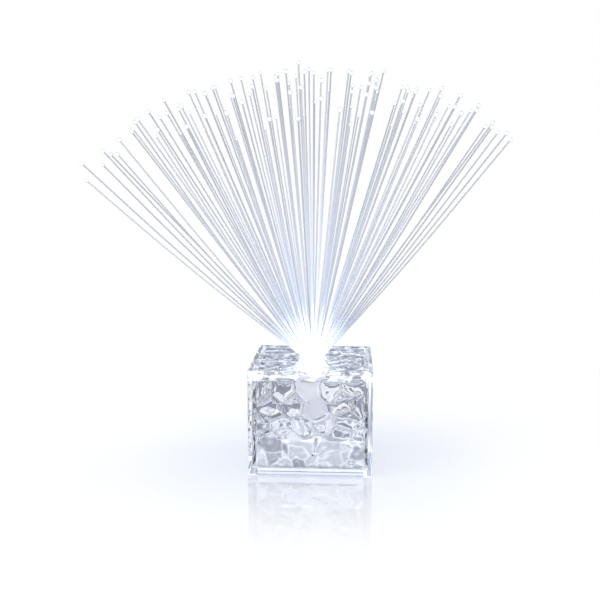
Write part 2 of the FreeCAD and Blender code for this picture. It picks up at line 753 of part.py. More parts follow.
cover = new_body("cover_body")
plate = pad(cover, "cover_plate", rectangle(cover, "cover_square", MODULE, MODULE, z=COVER_UNDER),
            "cover_thick")
round_corners(cover, "cover_corners", plate)
for side, hand in SIDES:
    screw_x = "%d * %s" % (side, SCREW_X)
    pillar = circle(cover, "pillar_circle_" + hand, "boss_dia", screw_x, SCREW_Y, BOSS_TOP)
    pad(cover, "pillar_" + hand, pillar, "%s - %s + lap" % (COVER_UNDER, BOSS_TOP))
    pilot = circle(cover, "pilot_circle_" + hand, "screw_dia + pilot_play", screw_x, SCREW_Y,
                   "%s - lap" % BOSS_TOP)
    pocket(cover, "pilot_hole_" + hand, pilot, "screw_length")
    clamp = rectangle(cover, "clamp_rectangle_" + hand, "rail_width", "board_back",
                      "%d * rail_place" % side, "0", BOARD_TOP)
    pad(cover, "board_clamp_" + hand, clamp, "%s - %s + lap" % (COVER_UNDER, BOARD_TOP))
lamp_hole = circle(cover, "lamp_circle", "led_flange_dia + 2 * holder_play",
                   z="%s - lap" % COVER_UNDER)
pocket(cover, "lamp_hole", lamp_hole, "cover_thick + 2 * lap")
publish(cover, "base_cover")

# The door hooks under the floor with two tabs on its left and is held by two sprung arms on its
# right. Tabs and arms stand in the valleys between the cells.
door = new_body("door_body")
DOOR_LENGTH = "(%s - 2 * door_play)" % HATCH_LENGTH
leaf = rectangle(door, "door_rectangle", DOOR_LENGTH, "%s - 2 * door_play" % HATCH_WIDTH,
                 y=HATCH_MIDDLE, z="rim_recess")
pad(door, "door_plate", leaf, "floor_thick")
for number in range(CELLS - 1):
    valley = "(%s + (%d + 0.5) * %s)" % (FIRST_CELL, number, CELL_PITCH)
    root = rectangle(door, "tab_root_rectangle_%d" % number, "tab_root", "tab_width",
                     "tab_root / 2 - %s / 2" % DOOR_LENGTH, valley, "%s - lap" % FLOOR_TOP)
    pad(door, "tab_root_%d" % number, root, "lap + tab_lift + tab_thick")
    tab = rectangle(door, "tab_rectangle_%d" % number, "tab_reach + door_play + tab_root / 2",
                    "tab_width", "(tab_root / 2 - tab_reach - door_play) / 2 - %s / 2" % DOOR_LENGTH,
                    valley, "%s + tab_lift" % FLOOR_TOP)
    pad(door, "tab_%d" % number, tab, "tab_thick")
    arm = rectangle(door, "arm_rectangle_%d" % number, "arm_thick", "tab_width",
                    "%s / 2 + arm_bulge - arm_thick / 2" % DOOR_LENGTH, valley,
                    "rim_recess + floor_thick / 2")
    pad(door, "latch_arm_%d" % number, arm, "floor_thick / 2 + latch_height")
for number in range(3):
    groove = rectangle(door, "grip_rectangle_%d" % number, "grip_width", "grip_length",
                       "%s / 2 - grip_inset - %d * 2 * grip_width" % (DOOR_LENGTH, number),
                       HATCH_MIDDLE, "rim_recess - lap")
    pocket(door, "grip_groove_%d" % number, groove, "grip_groove + lap")
publish(door, "battery_door")

# ---------------------------------------------------------------------------------------------
# Cells side by side, pointing left and right in turn, and their spring contacts
# ---------------------------------------------------------------------------------------------

CONTACT_FACE = "(%s / 2 - contact_thick)" % INSIDE

for number in range(CELLS):
    side = -1 if number % 2 else 1
    cell = new_body("cell_%d" % number)
    revolve(cell, "cell_turning_%d" % number, [
        ("0", "0"),
        ("cell_dia / 2", "0"),
        ("cell_dia / 2", "cell_length"),
        ("nub_dia / 2", "cell_length"),
        ("nub_dia / 2", "cell_length + nub_length"),
        ("0", "cell_length + nub_length"),
    ])
    cell.Placement = FreeCAD.Placement(FreeCAD.Vector(0, 0, 0),
                                       FreeCAD.Rotation(FreeCAD.Vector(0, 1, 0), 90 * side))
    bind(cell, {"Placement.Base.x": "%d * (%s - nub_length - cell_length)" % (side, CONTACT_FACE),
                "Placement.Base.y": "%s + %d * %s" % (FIRST_CELL, number, CELL_PITCH),
                "Placement.Base.z": CELL_AXIS})
    publish(cell, "battery_%d" % (number + 1))


def contact(name, side, first, last, leaf_at=None, tongue_at=None):
    """A spring contact on one end wall: plate behind some cells, sprung leaf, solder tongue."""
    body = new_body(name + "_body")
    x = "%d * (%s / 2 - contact_thick / 2)" % (side, INSIDE)
    y = "%s + (%d + %d) / 2 * %s" % (FIRST_CELL, first, last, CELL_PITCH)
    plate = rectangle(body, name + "_rectangle", "contact_thick",
                      "%s + %d * %s" % (CONTACT_WIDTH, last - first, CELL_PITCH), x, y,
                      "%s - %s / 2" % (CELL_AXIS, CONTACT_HEIGHT))
    pad(body, name + "_plate", plate, CONTACT_HEIGHT)
    if tongue_at:
        foot = "(%s + %s / 2 - lap)" % (CELL_AXIS, CONTACT_HEIGHT)
        tongue = rectangle(body, name + "_tongue_rectangle", "contact_thick", "tongue_width", x,
                           tongue_at, foot)
        pad(body, name + "_tongue", tongue, "%s + solder_stub - %s" % (BOARD_TOP, foot))
    if leaf_at is not None:
        sketch = new_sketch(body, name + "_bend", "XZ_Plane",
                            z="-(%s + %d * %s)" % (FIRST_CELL, leaf_at, CELL_PITCH))
        flat_end = "(cell_length + nub_length - %s)" % CONTACT_FACE
        face = "(%s + contact_thick / 2)" % CONTACT_FACE
        strip = [(face, "leaf_half"), (flat_end, "leaf_tip"), (flat_end, "-leaf_tip"),
                 (face, "-leaf_half"), (face, "-leaf_half + 2 * contact_thick"),
                 ("%s + contact_thick" % flat_end, "-leaf_tip + contact_thick / 2"),
                 ("%s + contact_thick" % flat_end, "leaf_tip - contact_thick / 2"),
                 (face, "leaf_half - 2 * contact_thick")]
        rough = [(25, 11), (20, 9), (20, 7), (25, 4), (25, 5), (21, 7.2), (21, 8.8), (25, 10)]
        outline(sketch, [(side * u, v) for u, v in rough])
        for index, (u, v) in enumerate(strip):
            limit(sketch, "out%d" % index, "DistanceX", (-1, 1, index, 1), "%d * (%s)" % (side, u))
            limit(sketch, "up%d" % index, "DistanceY", (-1, 1, index, 1), "%s + %s" % (CELL_AXIS, v))
        strip_pad = pad(body, name + "_leaf", sketch, "leaf_width")
        strip_pad.Midplane = True
    return publish(body, name)


contact("positive_contact", 1, 0, 0, tongue_at=TONGUE_PLACES["right"])
contact("bridge_contact_right", 1, 1, 2, leaf_at=1)
contact("bridge_contact_left", -1, 0, 1, leaf_at=0)
contact("negative_contact", -1, 2, 2, leaf_at=2, tongue_at=TONGUE_PLACES["left"])

# ---------------------------------------------------------------------------------------------
# Board, resistor, slide switch, wires and screws
# ---------------------------------------------------------------------------------------------

board_blank = join("board_blank", [
    box("board_main", "2 * (%s - tongue_play)" % CONTACT_FACE, "board_back - %s" % BOARD_FRONT,
        "board_thick", "0", "(board_back + %s) / 2" % BOARD_FRONT, BOARD_UNDER),
    box("board_tail", "switch_length", "%s + switch_width / 2" % ANNEX_MIDDLE, "board_thick",
        "0", "(%s + switch_width / 2) / 2" % ANNEX_MIDDLE, BOARD_UNDER)])
lead_holes = [box("lead_hole_" + hand, "lead_side + lead_play", "lead_side + lead_play",
                  "board_thick + 2 * lap", "%d * lead_pitch / 2" % side, "0",
                  "%s - lap" % BOARD_UNDER)
              for side, hand in SIDES]
publish(cut("board", board_blank, lead_holes), "circuit_board")
publish(box("resistor_body", "resistor_length", "resistor_width", "resistor_thick",
            "rail_place / 2", "0", BOARD_TOP), "resistor")

switch_can = box("switch_can", "switch_length", "switch_width", "switch_height", "0", ANNEX_MIDDLE,
                 FLOOR_TOP)
knob_room = box("knob_room", "knob_length + switch_travel + 2 * slot_play",
                "knob_width + 2 * slot_play", "knob_root + 2 * knob_play", "0", ANNEX_MIDDLE,
                "%s - knob_play" % FLOOR_TOP)
publish(cut("switch_case", switch_can, [knob_room]), "switch_body")
knob_block = box("knob_block", "knob_length", "knob_width",
                 "%s + knob_root - knob_clear" % FLOOR_TOP, "-switch_travel / 2", ANNEX_MIDDLE,
                 "knob_clear")
knob_grooves = [box("knob_groove_" + hand, "knob_groove", "2 * knob_width", "2 * knob_groove",
                    "%d * knob_length / 6 - switch_travel / 2" % side, ANNEX_MIDDLE,
                    "knob_clear - knob_groove") for side, hand in SIDES]
publish(cut("knob", knob_block, knob_grooves), "switch_knob")
SWITCH_TOP = "(%s + switch_height)" % FLOOR_TOP
publish(group("pin_row", [
    box("pin_%d" % number, "pin_width", "pin_thick", "pin_length", "%d * lead_pitch" % (number - 1),
        ANNEX_MIDDLE, SWITCH_TOP) for number in range(3)]), "switch_pins")
PIN_TOP = "(%s + pin_length)" % SWITCH_TOP
wires = []
for number in range(2):
    wire = doc.addObject("Part::Prism", "wire_%d" % number)
    wire.Polygon = SECTION_SIDES
    bind(wire, {"Circumradius": "wire_dia / 2", "Height": "%s - %s" % (BOARD_UNDER, PIN_TOP),
                "Placement.Base.x": "%d * lead_pitch" % (number - 1),
                "Placement.Base.y": ANNEX_MIDDLE, "Placement.Base.z": PIN_TOP})
    wires.append(wire)
publish(group("wire_pair", wires), "switch_wires")

screws = []
for side, hand in SIDES:
    screw = new_body("screw_" + hand)
    seat = "(rim_recess + head_play + head_thick)"
    revolve(screw, "screw_turning_" + hand, [
        ("0", "rim_recess + head_play"),
        ("head_dia / 2", "rim_recess + head_play"),
        ("head_dia / 2", seat),
        ("screw_dia / 2", seat),
        ("screw_dia / 2", "%s + screw_length" % seat),
        ("0", "%s + screw_length" % seat),
    ])
    bind(screw, {"Placement.Base.x": "%d * %s" % (side, SCREW_X), "Placement.Base.y": SCREW_Y})
    screws.append(screw)
publish(group("screw_pair", screws), "base_screws")

# ---------------------------------------------------------------------------------------------
# Check every object, then write one file for each sub-part
# ---------------------------------------------------------------------------------------------

doc.recompute()
for item in doc.Objects:
    if "Invalid" in item.State or "Error" in item.State:
        raise RuntimeError("%s could not be built: %s" % (item.Name, item.State))
os.makedirs("parts", exist_ok=True)
for item in nodes:
    if item.Shape.isNull() or not item.Shape.isValid():
        raise RuntimeError("%s has no valid shape" % item.Label)
    item.Shape.exportStep("parts/%s.step" % item.Label)
    print("%-22s %3d solids %10.1f mm3" % (item.Label, len(item.Shape.Solids), item.Shape.Volume))
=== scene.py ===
# %% [markdown]
# # A fiber optic lamp in a clear block
# The lamp is a clear acrylic block with a relief of stones on its inner faces. A white sleeve in
# its middle holds a bundle of plastic fibers, which open into a fan above it, and a battery
# module in the block's foot feeds one white LED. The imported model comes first. It gives every
# sub-part its true place, so each piece made here is built straight into the same frame, in metres.

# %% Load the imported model
import math
import random

import bmesh
import bpy
import numpy as np
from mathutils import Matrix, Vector


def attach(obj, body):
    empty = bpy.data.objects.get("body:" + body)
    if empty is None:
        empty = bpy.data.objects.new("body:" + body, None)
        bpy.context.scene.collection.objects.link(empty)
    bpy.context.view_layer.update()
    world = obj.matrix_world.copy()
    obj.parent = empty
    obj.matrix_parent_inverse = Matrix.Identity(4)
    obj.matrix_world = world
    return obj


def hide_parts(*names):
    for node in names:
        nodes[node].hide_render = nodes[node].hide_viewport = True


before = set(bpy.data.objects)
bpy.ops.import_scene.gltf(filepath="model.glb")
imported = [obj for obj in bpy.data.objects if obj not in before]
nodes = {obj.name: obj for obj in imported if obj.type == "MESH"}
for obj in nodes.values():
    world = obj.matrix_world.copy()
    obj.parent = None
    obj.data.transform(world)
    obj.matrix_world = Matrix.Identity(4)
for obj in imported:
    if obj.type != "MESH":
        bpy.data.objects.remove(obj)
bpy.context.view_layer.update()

# %% [markdown]
# ## Camera
# The lamp is seen a little from the right and from above, through a short telephoto lens. A Track
# To constraint could aim the camera, but plain numbers give the same view in every run.

# %% Camera
camera = bpy.data.objects.new("camera", bpy.data.cameras.new("camera"))
bpy.context.scene.collection.objects.link(camera)
camera.location = (0.0203, -0.4550, 0.1532)
camera.rotation_euler = (math.radians(81.07), 0.0, math.radians(3.37))
camera.data.sensor_width = 36.0
camera.data.lens = 55.06
camera.data.clip_start = 0.01
bpy.context.scene.camera = camera
bpy.context.scene.view_settings.view_transform = "Standard"
print("camera", round(camera.location.length, 3), "m from the lamp's foot")

# %% [markdown]
# ## Node helpers
# Every tree below is a handful of nodes with links between them. They could be wired by hand in
# the node editor, but in code each number can be read and changed. One helper adds a node, fills
# its sockets with numbers or links, and hands back its first output.

# %% Helpers for all nodes
def add(tree, kind, inputs=None, **settings):
    """Add a node, set its properties and inputs, and return its first output."""
    made = tree.nodes.new(kind)
    for name, value in settings.items():
        setattr(made, name, value)
    for key, value in (inputs or {}).items():
        if isinstance(value, bpy.types.NodeSocket):
            tree.links.new(value, made.inputs[key])
        else:
            made.inputs[key].default_value = value
    return made.outputs[0]


def maths(tree, operation, first, *others):
    """A sum on numbers or links, from left to right if there are more than two."""
    for other in others or (0.0,):
        first = add(tree, "ShaderNodeMath", {0: first, 1: other}, operation=operation)
    return first


print("node helpers ready")

# %% [markdown]
# A geometry tree starts from named sizes and ends in a plain mesh with a material. A modifier
# knows an input by its socket's identifier and not by its name, so run_tree looks that up. Then it
# replaces the modifier by its result.

# %% Helpers for geometry trees and meshes
def open_tree(name, **sizes):
    """A geometry tree with named inputs. It returns the tree and its inputs by name."""
    tree = bpy.data.node_groups.new(name, "GeometryNodeTree")
    tree.interface.new_socket("Geometry", in_out="INPUT", socket_type="NodeSocketGeometry")
    for label, value in sizes.items():
        kind = {int: "NodeSocketInt", float: "NodeSocketFloat",
                bpy.types.Object: "NodeSocketObject"}.get(type(value), "NodeSocketMaterial")
        socket = tree.interface.new_socket(label, in_out="INPUT", socket_type=kind)
        socket.default_value = value
    tree.interface.new_socket("Geometry", in_out="OUTPUT", socket_type="NodeSocketGeometry")
    entry = tree.nodes.new("NodeGroupInput")
    return tree, {socket.name: socket for socket in entry.outputs if socket.name}


def stored(tree, name, kind="FLOAT"):
    """A value that the mesh carries on its points or faces."""
    return add(tree, "GeometryNodeInputNamedAttribute", {"Name": name}, data_type=kind)


def carry(mesh, name, values, kind="FLOAT", domain="POINT"):
    """Let a mesh carry values, for a tree or a finish to read."""
    key = "vector" if kind == "FLOAT_VECTOR" else "value"
    mesh.attributes.new(name, kind, domain).data.foreach_set(key, np.ravel(values))


def close_tree(tree, geometry, material, marked=None):
    """End a tree: real geometry and its material. Faces that are marked can have a second one."""
    whole = add(tree, "GeometryNodeRealizeInstances", {"Geometry": geometry})
    dressed = add(tree, "GeometryNodeSetMaterial", {"Geometry": whole, "Material": material})
    if marked is not None:
        dressed = add(tree, "GeometryNodeSetMaterial",
                      {"Geometry": dressed, "Selection": stored(tree, "marked", "BOOLEAN"),
                       "Material": marked})
    tree.links.new(dressed, tree.nodes.new("NodeGroupOutput").inputs[0])


def settle(piece):
    """Make the result of a piece's modifiers its own mesh, and leave no modifier behind."""
    graph = bpy.context.evaluated_depsgraph_get()
    made = bpy.data.meshes.new_from_object(piece.evaluated_get(graph), depsgraph=graph)
    piece.modifiers.clear()
    piece.data = made


def run_tree(piece, tree, **values):
    """Shape a piece with a tree. Each value is set by its socket's identifier."""
    modifier = piece.modifiers.new("shape", "NODES")
    modifier.node_group = tree
    for item in tree.interface.items_tree:
        if item.in_out == "INPUT" and item.name in values:
            modifier[item.identifier] = values[item.name]
    settle(piece)
    return piece


def new_piece(name, mesh):
    """A new object at the origin. Its place is in its mesh."""
    piece = bpy.data.objects.new(name, mesh)
    bpy.context.scene.collection.objects.link(piece)
    return piece


def piece_from(name, shape):
    """A new piece from a bmesh, which is freed."""
    mesh = bpy.data.meshes.new(name)
    shape.to_mesh(mesh)
    shape.free()
    return new_piece(name, mesh)


print("geometry helpers ready")

# %% [markdown]
# ## Materials: the shared base
# Each finish starts as a Principled shader. What is the same all over, such as the index of
# refraction, is set on the shader's own socket. What varies comes from noise on the object's own
# coordinates, so it has a true size in metres and doesn't move when the piece moves.

# %% A base for every finish, and places on a piece
def new_finish(name, **plain):
    """A material with one Principled shader. Keywords set its sockets, with _ for a space."""
    material = bpy.data.materials.new(name)
    material.use_nodes = True
    tree = material.node_tree
    shader = tree.nodes["Principled BSDF"]
    for key, value in plain.items():
        shader.inputs[key.replace("_", " ")].default_value = value
    return material, tree, shader


def dress(material, *names):
    """Give carried-over sub-parts their finish."""
    for name in names:
        nodes[name].data.materials.clear()
        nodes[name].data.materials.append(material)


def object_places(tree):
    """The place on the piece, in metres."""
    return tree.nodes.new("ShaderNodeTexCoord").outputs["Object"]


def axes(tree, vector):
    """The three parts of a vector, as outputs named X, Y and Z."""
    return add(tree, "ShaderNodeSeparateXYZ", {"Vector": vector}).node.outputs


def sides(tree, vector):
    """How far a place lies from the middle along x and along y, in metres."""
    place = axes(tree, vector)
    return maths(tree, "ABSOLUTE", place["X"]), maths(tree, "ABSOLUTE", place["Y"])


def distance(tree, point):
    """How far the place on the piece lies from a point, in metres."""
    return add(tree, "ShaderNodeVectorMath", {0: object_places(tree), 1: point},
               operation="DISTANCE").node.outputs["Value"]


def carried(tree, name):
    """A value that the mesh carries."""
    return add(tree, "ShaderNodeAttribute", attribute_name=name).node.outputs["Fac"]


def grain(tree, scale, detail=2.0):
    """Cloudy noise. Scale is in cells for each metre."""
    return add(tree, "ShaderNodeTexNoise",
               {"Vector": object_places(tree), "Scale": scale, "Detail": detail})


print("base ready")

# %% [markdown]
# The next helpers turn such a value into what a shader takes: a number, a colour from a ramp, or
# a bump. Most noise lies between 0.3 and 0.7, so that range is stretched over a socket's limits.

# %% Helpers for numbers, colours and bumps
NOISE_LOW, NOISE_HIGH = 0.3, 0.7


def ramped(tree, value, low, high, first=0.0, last=1.0, kind="LINEAR"):
    """A number that goes from first to last as the value goes from low to high."""
    return add(tree, "ShaderNodeMapRange",
               {"Value": value, "From Min": low, "From Max": high, "To Min": first,
                "To Max": last}, interpolation_type=kind)


def window(tree, value, opens, full, fades, closed, most=1.0):
    """A number that rises from 0 between opens and full, and falls from fades to closed."""
    return maths(tree, "MULTIPLY", ramped(tree, value, opens, full),
                 ramped(tree, value, fades, closed, most, 0.0))


def between(tree, shader, socket, share, low, high):
    """Let a socket run from low to high with a noise."""
    result = ramped(tree, share, NOISE_LOW, NOISE_HIGH, low, high)
    tree.links.new(result, shader.inputs[socket])


def coloured(tree, share, stops):
    """A colour that follows a share from 0 to 1 through (place, colour) stops."""
    ramp = tree.nodes.new("ShaderNodeValToRGB")
    elements = ramp.color_ramp.elements
    while len(elements) < len(stops):
        elements.new(1.0)
    for element, (place, colour) in zip(elements, stops):
        element.position = place
        element.color = (*colour, 1.0)
    tree.links.new(share, ramp.inputs["Fac"])
    return ramp.outputs["Color"]


def tinted(tree, shader, share, stops):
    """Let the base colour follow a share through (place, colour) stops."""
    tree.links.new(coloured(tree, share, stops), shader.inputs["Base Color"])


def bumped(tree, shader, height, distance, strength=1.0):
    """Raise the surface by height times distance, in metres, for the light only."""
    bump = add(tree, "ShaderNodeBump",
               {"Height": height, "Distance": distance, "Strength": strength})
    tree.links.new(bump, shader.inputs["Normal"])


def surfaced(tree, shader, tint, stops, rough, bump):
    """Colour, roughness as (share, low, high), and bump as (height, distance, strength)."""
    tinted(tree, shader, tint, stops)
    between(tree, shader, "Roughness", *rough)
    bumped(tree, shader, *bump)


print("finish helpers ready")

# %% [markdown]
# ## Clear acrylic
# The block is moulded in clear acrylic: index of refraction 1.49, polished outside. A hint of
# blue builds up where light passes through several faces, as in the thick stones, and very
# shallow waves keep the outer faces from looking too perfect. The walls also pipe the LED's light
# to the block's edges and corners, and the stones under the top catch some of it. A render would
# need hours to find that by itself, so those places give off a little light of their own.

# %% Finish of the clear block
EDGE_GLOW = 0.12
RIM_GLOW = 0.18
FOOT_GLOW = 0.26
STONE_GLINTS = 0.54

acrylic, tree, shader = new_finish(
    "clear_acrylic", Base_Color=(0.955, 0.965, 0.985, 1.0), Transmission_Weight=1.0, IOR=1.49,
    Emission_Color=(0.86, 0.91, 1.0, 1.0))
height = axes(tree, object_places(tree))["Z"]
across, along = sides(tree, object_places(tree))
nearer, further = maths(tree, "MINIMUM", across, along), maths(tree, "MAXIMUM", across, along)
upright_edges = maths(tree, "MULTIPLY", ramped(tree, nearer, 0.0272, 0.0288), EDGE_GLOW)
rim = maths(tree, "MULTIPLY", ramped(tree, height, 0.0490, 0.0500),
            ramped(tree, further, 0.0285, 0.0298), RIM_GLOW)
foot_corners = maths(tree, "MULTIPLY", ramped(tree, nearer, 0.0255, 0.0265),
                     ramped(tree, height, 0.0030, 0.0045, FOOT_GLOW, 0.0))
glints = maths(tree, "MULTIPLY", window(tree, height, 0.0466, 0.0472, 0.0499, 0.0501),
               ramped(tree, grain(tree, 250.0, 1.0), 0.52, 0.60, 0.0, STONE_GLINTS))
glow = maths(tree, "ADD", maths(tree, "MAXIMUM", upright_edges, rim, foot_corners), glints)
tree.links.new(glow, shader.inputs["Emission Strength"])
between(tree, shader, "Roughness", grain(tree, 180.0), 0.0, 0.03)
bumped(tree, shader, grain(tree, 90.0, 1.0), 0.0004, 0.25)
print(acrylic.name, "with", len(tree.nodes), "nodes")

# %% [markdown]
# ## Stone relief
# The block's inner faces carry low domed stones with sharp grooves between them. They could be
# sculpted or displaced by a texture, but a rule gives cleaner grooves: each stone is the area
# nearest to its own centre, as in crystals and soap bubbles. A seeded generator places the centres.
# For each point of a fine grid, numpy finds how far inside its stone it lies. A geometry tree
# then pushes the point out along a dome, so the rise and the roundness are numbers to try.

# %% Sizes of the block, in metres
BLOCK_HALF = 0.030
BLOCK_TOP = 0.052
INNER_HALF = 0.028
INNER_TOP = 0.0497
RIM_HEIGHT = 0.0034
STONES = 5
GROOVE = 0.0008
SOFTNESS = 0.0003
STONE_RISE = 0.0020
CEILING = INNER_TOP - STONE_RISE
RIM_HALF = INNER_HALF - STONE_RISE
NECK_HOLE = 0.006635
SEAT_OUTER = 0.007735
print("wall of the block in mm:", round(1000 * (BLOCK_HALF - INNER_HALF), 2))

# %% Where the stones lie
WALL_SEEDS = (11, 12, 13, 14)
CEILING_SEED = 15
ROW_SHIFT = 0.2
WANDER = 0.3
DEEPEST = -0.003


def stone_centres(width, height, seed):
    """Centres of five rows of five stones on a panel, each moved at random in its own cell."""
    wander = random.Random(seed)
    centres = []
    for row in range(STONES):
        shift = ROW_SHIFT if row % 2 else -ROW_SHIFT
        for column in range(STONES):
            u = (column + 0.5 + shift + wander.uniform(-WANDER, WANDER)) / STONES
            v = (row + 0.5 + wander.uniform(-WANDER, WANDER)) / STONES
            centres.append(((u - 0.5) * width, (v - 0.5) * height))
    return np.array(centres)


def stone_shape(points, width, height, seed):
    """For each point: metres to the nearest groove, crown from 1 to 0 and a lean of its stone.

    A soft minimum of the distances to all grooves rounds the corners of a stone.
    """
    centres = stone_centres(width, height, seed)
    squares = ((points[:, None, :] - centres[None, :, :]) ** 2).sum(axis=2)
    own = squares.argmin(axis=1)
    gaps = np.linalg.norm(centres[own][:, None, :] - centres[None, :, :], axis=2)
    gaps[gaps == 0] = np.inf
    to_groove = (squares - squares.min(axis=1)[:, None]) / (2 * gaps)
    to_groove[np.arange(len(points)), own] = 1.0
    to_border = np.column_stack((width / 2 - abs(points[:, 0]), height / 2 - abs(points[:, 1])))
    walls = np.column_stack((to_groove, to_border)).clip(DEEPEST)
    inside = (-SOFTNESS * np.log(np.exp(-walls / SOFTNESS).sum(axis=1))).clip(0.0)
    chance = np.random.default_rng(seed)
    reach = np.array([squares[own == k, k].max() ** 0.5 if (own == k).any() else 1.0
                      for k in range(len(centres))])
    spin, stretch = chance.uniform(0, np.pi, len(centres)), chance.uniform(0.7, 1.3, len(centres))
    lean = chance.uniform(-1.0, 1.0, (len(centres), 2))
    offset = (points - centres[own]) / reach[own][:, None]
    along = offset[:, 0] * np.cos(spin[own]) + offset[:, 1] * np.sin(spin[own])
    side = offset[:, 1] * np.cos(spin[own]) - offset[:, 0] * np.sin(spin[own])
    crown = 1.0 - along ** 2 * stretch[own] - side ** 2 / stretch[own]
    return inside, crown.clip(0.0, 1.0), (offset * lean[own]).sum(axis=1)


print("stones on one wall:", len(stone_centres(0.05, 0.04, WALL_SEEDS[0])))

# %% [markdown]
# The cavity is built as the solid that a core in the mould would be: four walls and a ceiling of
# small squares, with a plain foot. It is cut from the block later on, which is quicker and leaves
# cleaner edges than cutting stone by stone.

# %% Core of the mould as a grid
ACROSS = 136
UP = 112


def grid_faces(start, columns, rows):
    """Corner numbers of each square in a grid of points, whose first point is start."""
    firsts = [start + row * (columns + 1) + column
              for row in range(rows) for column in range(columns)]
    return [(a, a + 1, a + columns + 2, a + columns + 1) for a in firsts]


def core_mesh():
    """Grid points of the cavity, each with its depth in a stone and the way that it is pushed."""
    steps = np.linspace(-INNER_HALF, INNER_HALF, ACROSS + 1)
    heights = np.linspace(RIM_HEIGHT, INNER_TOP, UP + 1)
    corner = STONE_RISE + GROOVE / 2
    wide = 2 * (INNER_HALF - corner)
    foot = RIM_HEIGHT + GROOVE / 2
    tall = INNER_TOP - corner - foot
    u, up = [grid.ravel() for grid in np.meshgrid(steps, heights)]
    level = np.full_like(u, INNER_HALF)
    on_wall = np.column_stack((u, up - (foot + tall / 2)))
    walls = [(u, -level), (level, u), (-u, level), (-level, -u)]
    places = [np.column_stack((x, y, up)) for x, y in walls]
    shapes = [stone_shape(on_wall, wide, tall, seed) for seed in WALL_SEEDS]
    x, y = [grid.ravel() for grid in np.meshgrid(steps, steps)]
    inside, crown, lean = stone_shape(np.column_stack((x, y)), wide, wide, CEILING_SEED)
    to_seat = np.hypot(x, y) - SEAT_OUTER - GROOVE
    places.append(np.column_stack((x, y, np.full_like(x, INNER_TOP))))
    shapes.append((np.minimum(inside, to_seat.clip(0.0)), crown, lean))
    inwards = [(0, 1, 0), (-1, 0, 0), (0, -1, 0), (1, 0, 0), (0, 0, -1)]
    ways = [np.tile(way, (len(part), 1)) for way, part in zip(inwards, places)]
    squares = []
    for panel, rows in enumerate((UP, UP, UP, UP, ACROSS)):
        squares += grid_faces(panel * len(u), ACROSS, rows)
    mesh = bpy.data.meshes.new("core")
    mesh.from_pydata(np.concatenate(places).tolist(), [], squares)
    for name, values in zip(("groove", "crown", "lean"), zip(*shapes)):
        carry(mesh, name, np.concatenate(values))
    carry(mesh, "way", np.concatenate(ways), "FLOAT_VECTOR")
    return mesh


core = new_piece("core", core_mesh())
print("grid points on the core:", len(core.data.vertices))

# %% [markdown]
# From its groove inwards a stone's flank climbs steeply and rounds off. Over it lies the dome,
# with a lean and fine waves. The tree makes one number of all this, and pushes the point by it.

# %% Geometry tree that raises the stones
relief, size = open_tree("stone_relief", Rise=0.002, Flank=0.0045, Edge=0.60, Crown=0.85,
                         Lean=0.55, Ripple=0.24, Waves=420.0, Level=0.95, Lowest=0.12,
                         Softening=1, Material=acrylic)
climb = maths(relief, "DIVIDE", stored(relief, "groove"), size["Flank"])
climb = maths(relief, "MINIMUM", climb, 1.0)
flank = maths(relief, "MULTIPLY", climb, maths(relief, "SUBTRACT", 2.0, climb))
flank = maths(relief, "POWER", flank, size["Edge"])
crown = maths(relief, "MULTIPLY", maths(relief, "SUBTRACT", stored(relief, "crown"), 1.0),
              size["Crown"])
lean = maths(relief, "MULTIPLY", stored(relief, "lean"), size["Lean"])
ripple = add(relief, "ShaderNodeTexNoise", {"Scale": size["Waves"], "Detail": 1.0,
                                            "Vector": add(relief, "GeometryNodeInputPosition")})
waves = maths(relief, "MULTIPLY", maths(relief, "SUBTRACT", ripple, 0.5), size["Ripple"])
top = maths(relief, "ADD", crown, lean, waves, size["Level"])
top = maths(relief, "MINIMUM", maths(relief, "MAXIMUM", top, size["Lowest"]), 1.0)
push = add(relief, "GeometryNodeBlurAttribute",
           {0: maths(relief, "MULTIPLY", top, flank, size["Rise"]),
            "Iterations": size["Softening"]}, data_type="FLOAT")
offset = add(relief, "ShaderNodeVectorMath", {0: stored(relief, "way", "FLOAT_VECTOR"),
                                              "Scale": push}, operation="SCALE")
raised = add(relief, "GeometryNodeSetPosition", {"Geometry": size["Geometry"], "Offset": offset})
close_tree(relief, raised, size["Material"])
run_tree(core, relief, Rise=STONE_RISE)
print("stones raised on", len(core.data.polygons), "small faces")

# %% [markdown]
# ## Cutting the block
# The outer shape is a cube with a hair of rounding on its edges. The core, the hole for the
# sleeve and the open foot are cut from it with exact booleans, because fitting each stone's
# outline by hand would take days. The ring under the ceiling, where the sleeve's collar seats, is
# kept by cutting it out of the core first.

# %% Solids for the cuts
def turned(name, profile, around=64):
    """A closed solid of revolution from (radius, height) points, outermost first."""
    shape = bmesh.new()
    angles = [2 * math.pi * k / around for k in range(around)]
    rings = [[shape.verts.new((radius * math.cos(a), radius * math.sin(a), height))
              for a in angles] for radius, height in profile]
    for lower, upper in zip(rings, rings[1:]):
        for k in range(around):
            shape.faces.new((lower[k], lower[(k + 1) % around], upper[(k + 1) % around], upper[k]))
    shape.faces.new(rings[0])
    shape.faces.new(rings[-1])
    bmesh.ops.recalc_face_normals(shape, faces=shape.faces)
    return piece_from(name, shape)


def square_block(name, half, bottom, top, round_edge=0.0):
    """An upright square prism, with its edges rounded if asked."""
    shape = bmesh.new()
    bmesh.ops.create_cube(shape, size=1.0)
    for vertex in shape.verts:
        vertex.co = Vector((vertex.co.x * 2 * half, vertex.co.y * 2 * half,
                            bottom + (vertex.co.z + 0.5) * (top - bottom)))
    if round_edge:
        bmesh.ops.bevel(shape, geom=list(shape.edges), offset=round_edge, segments=2, profile=0.5,
                        affect="EDGES")
    return piece_from(name, shape)


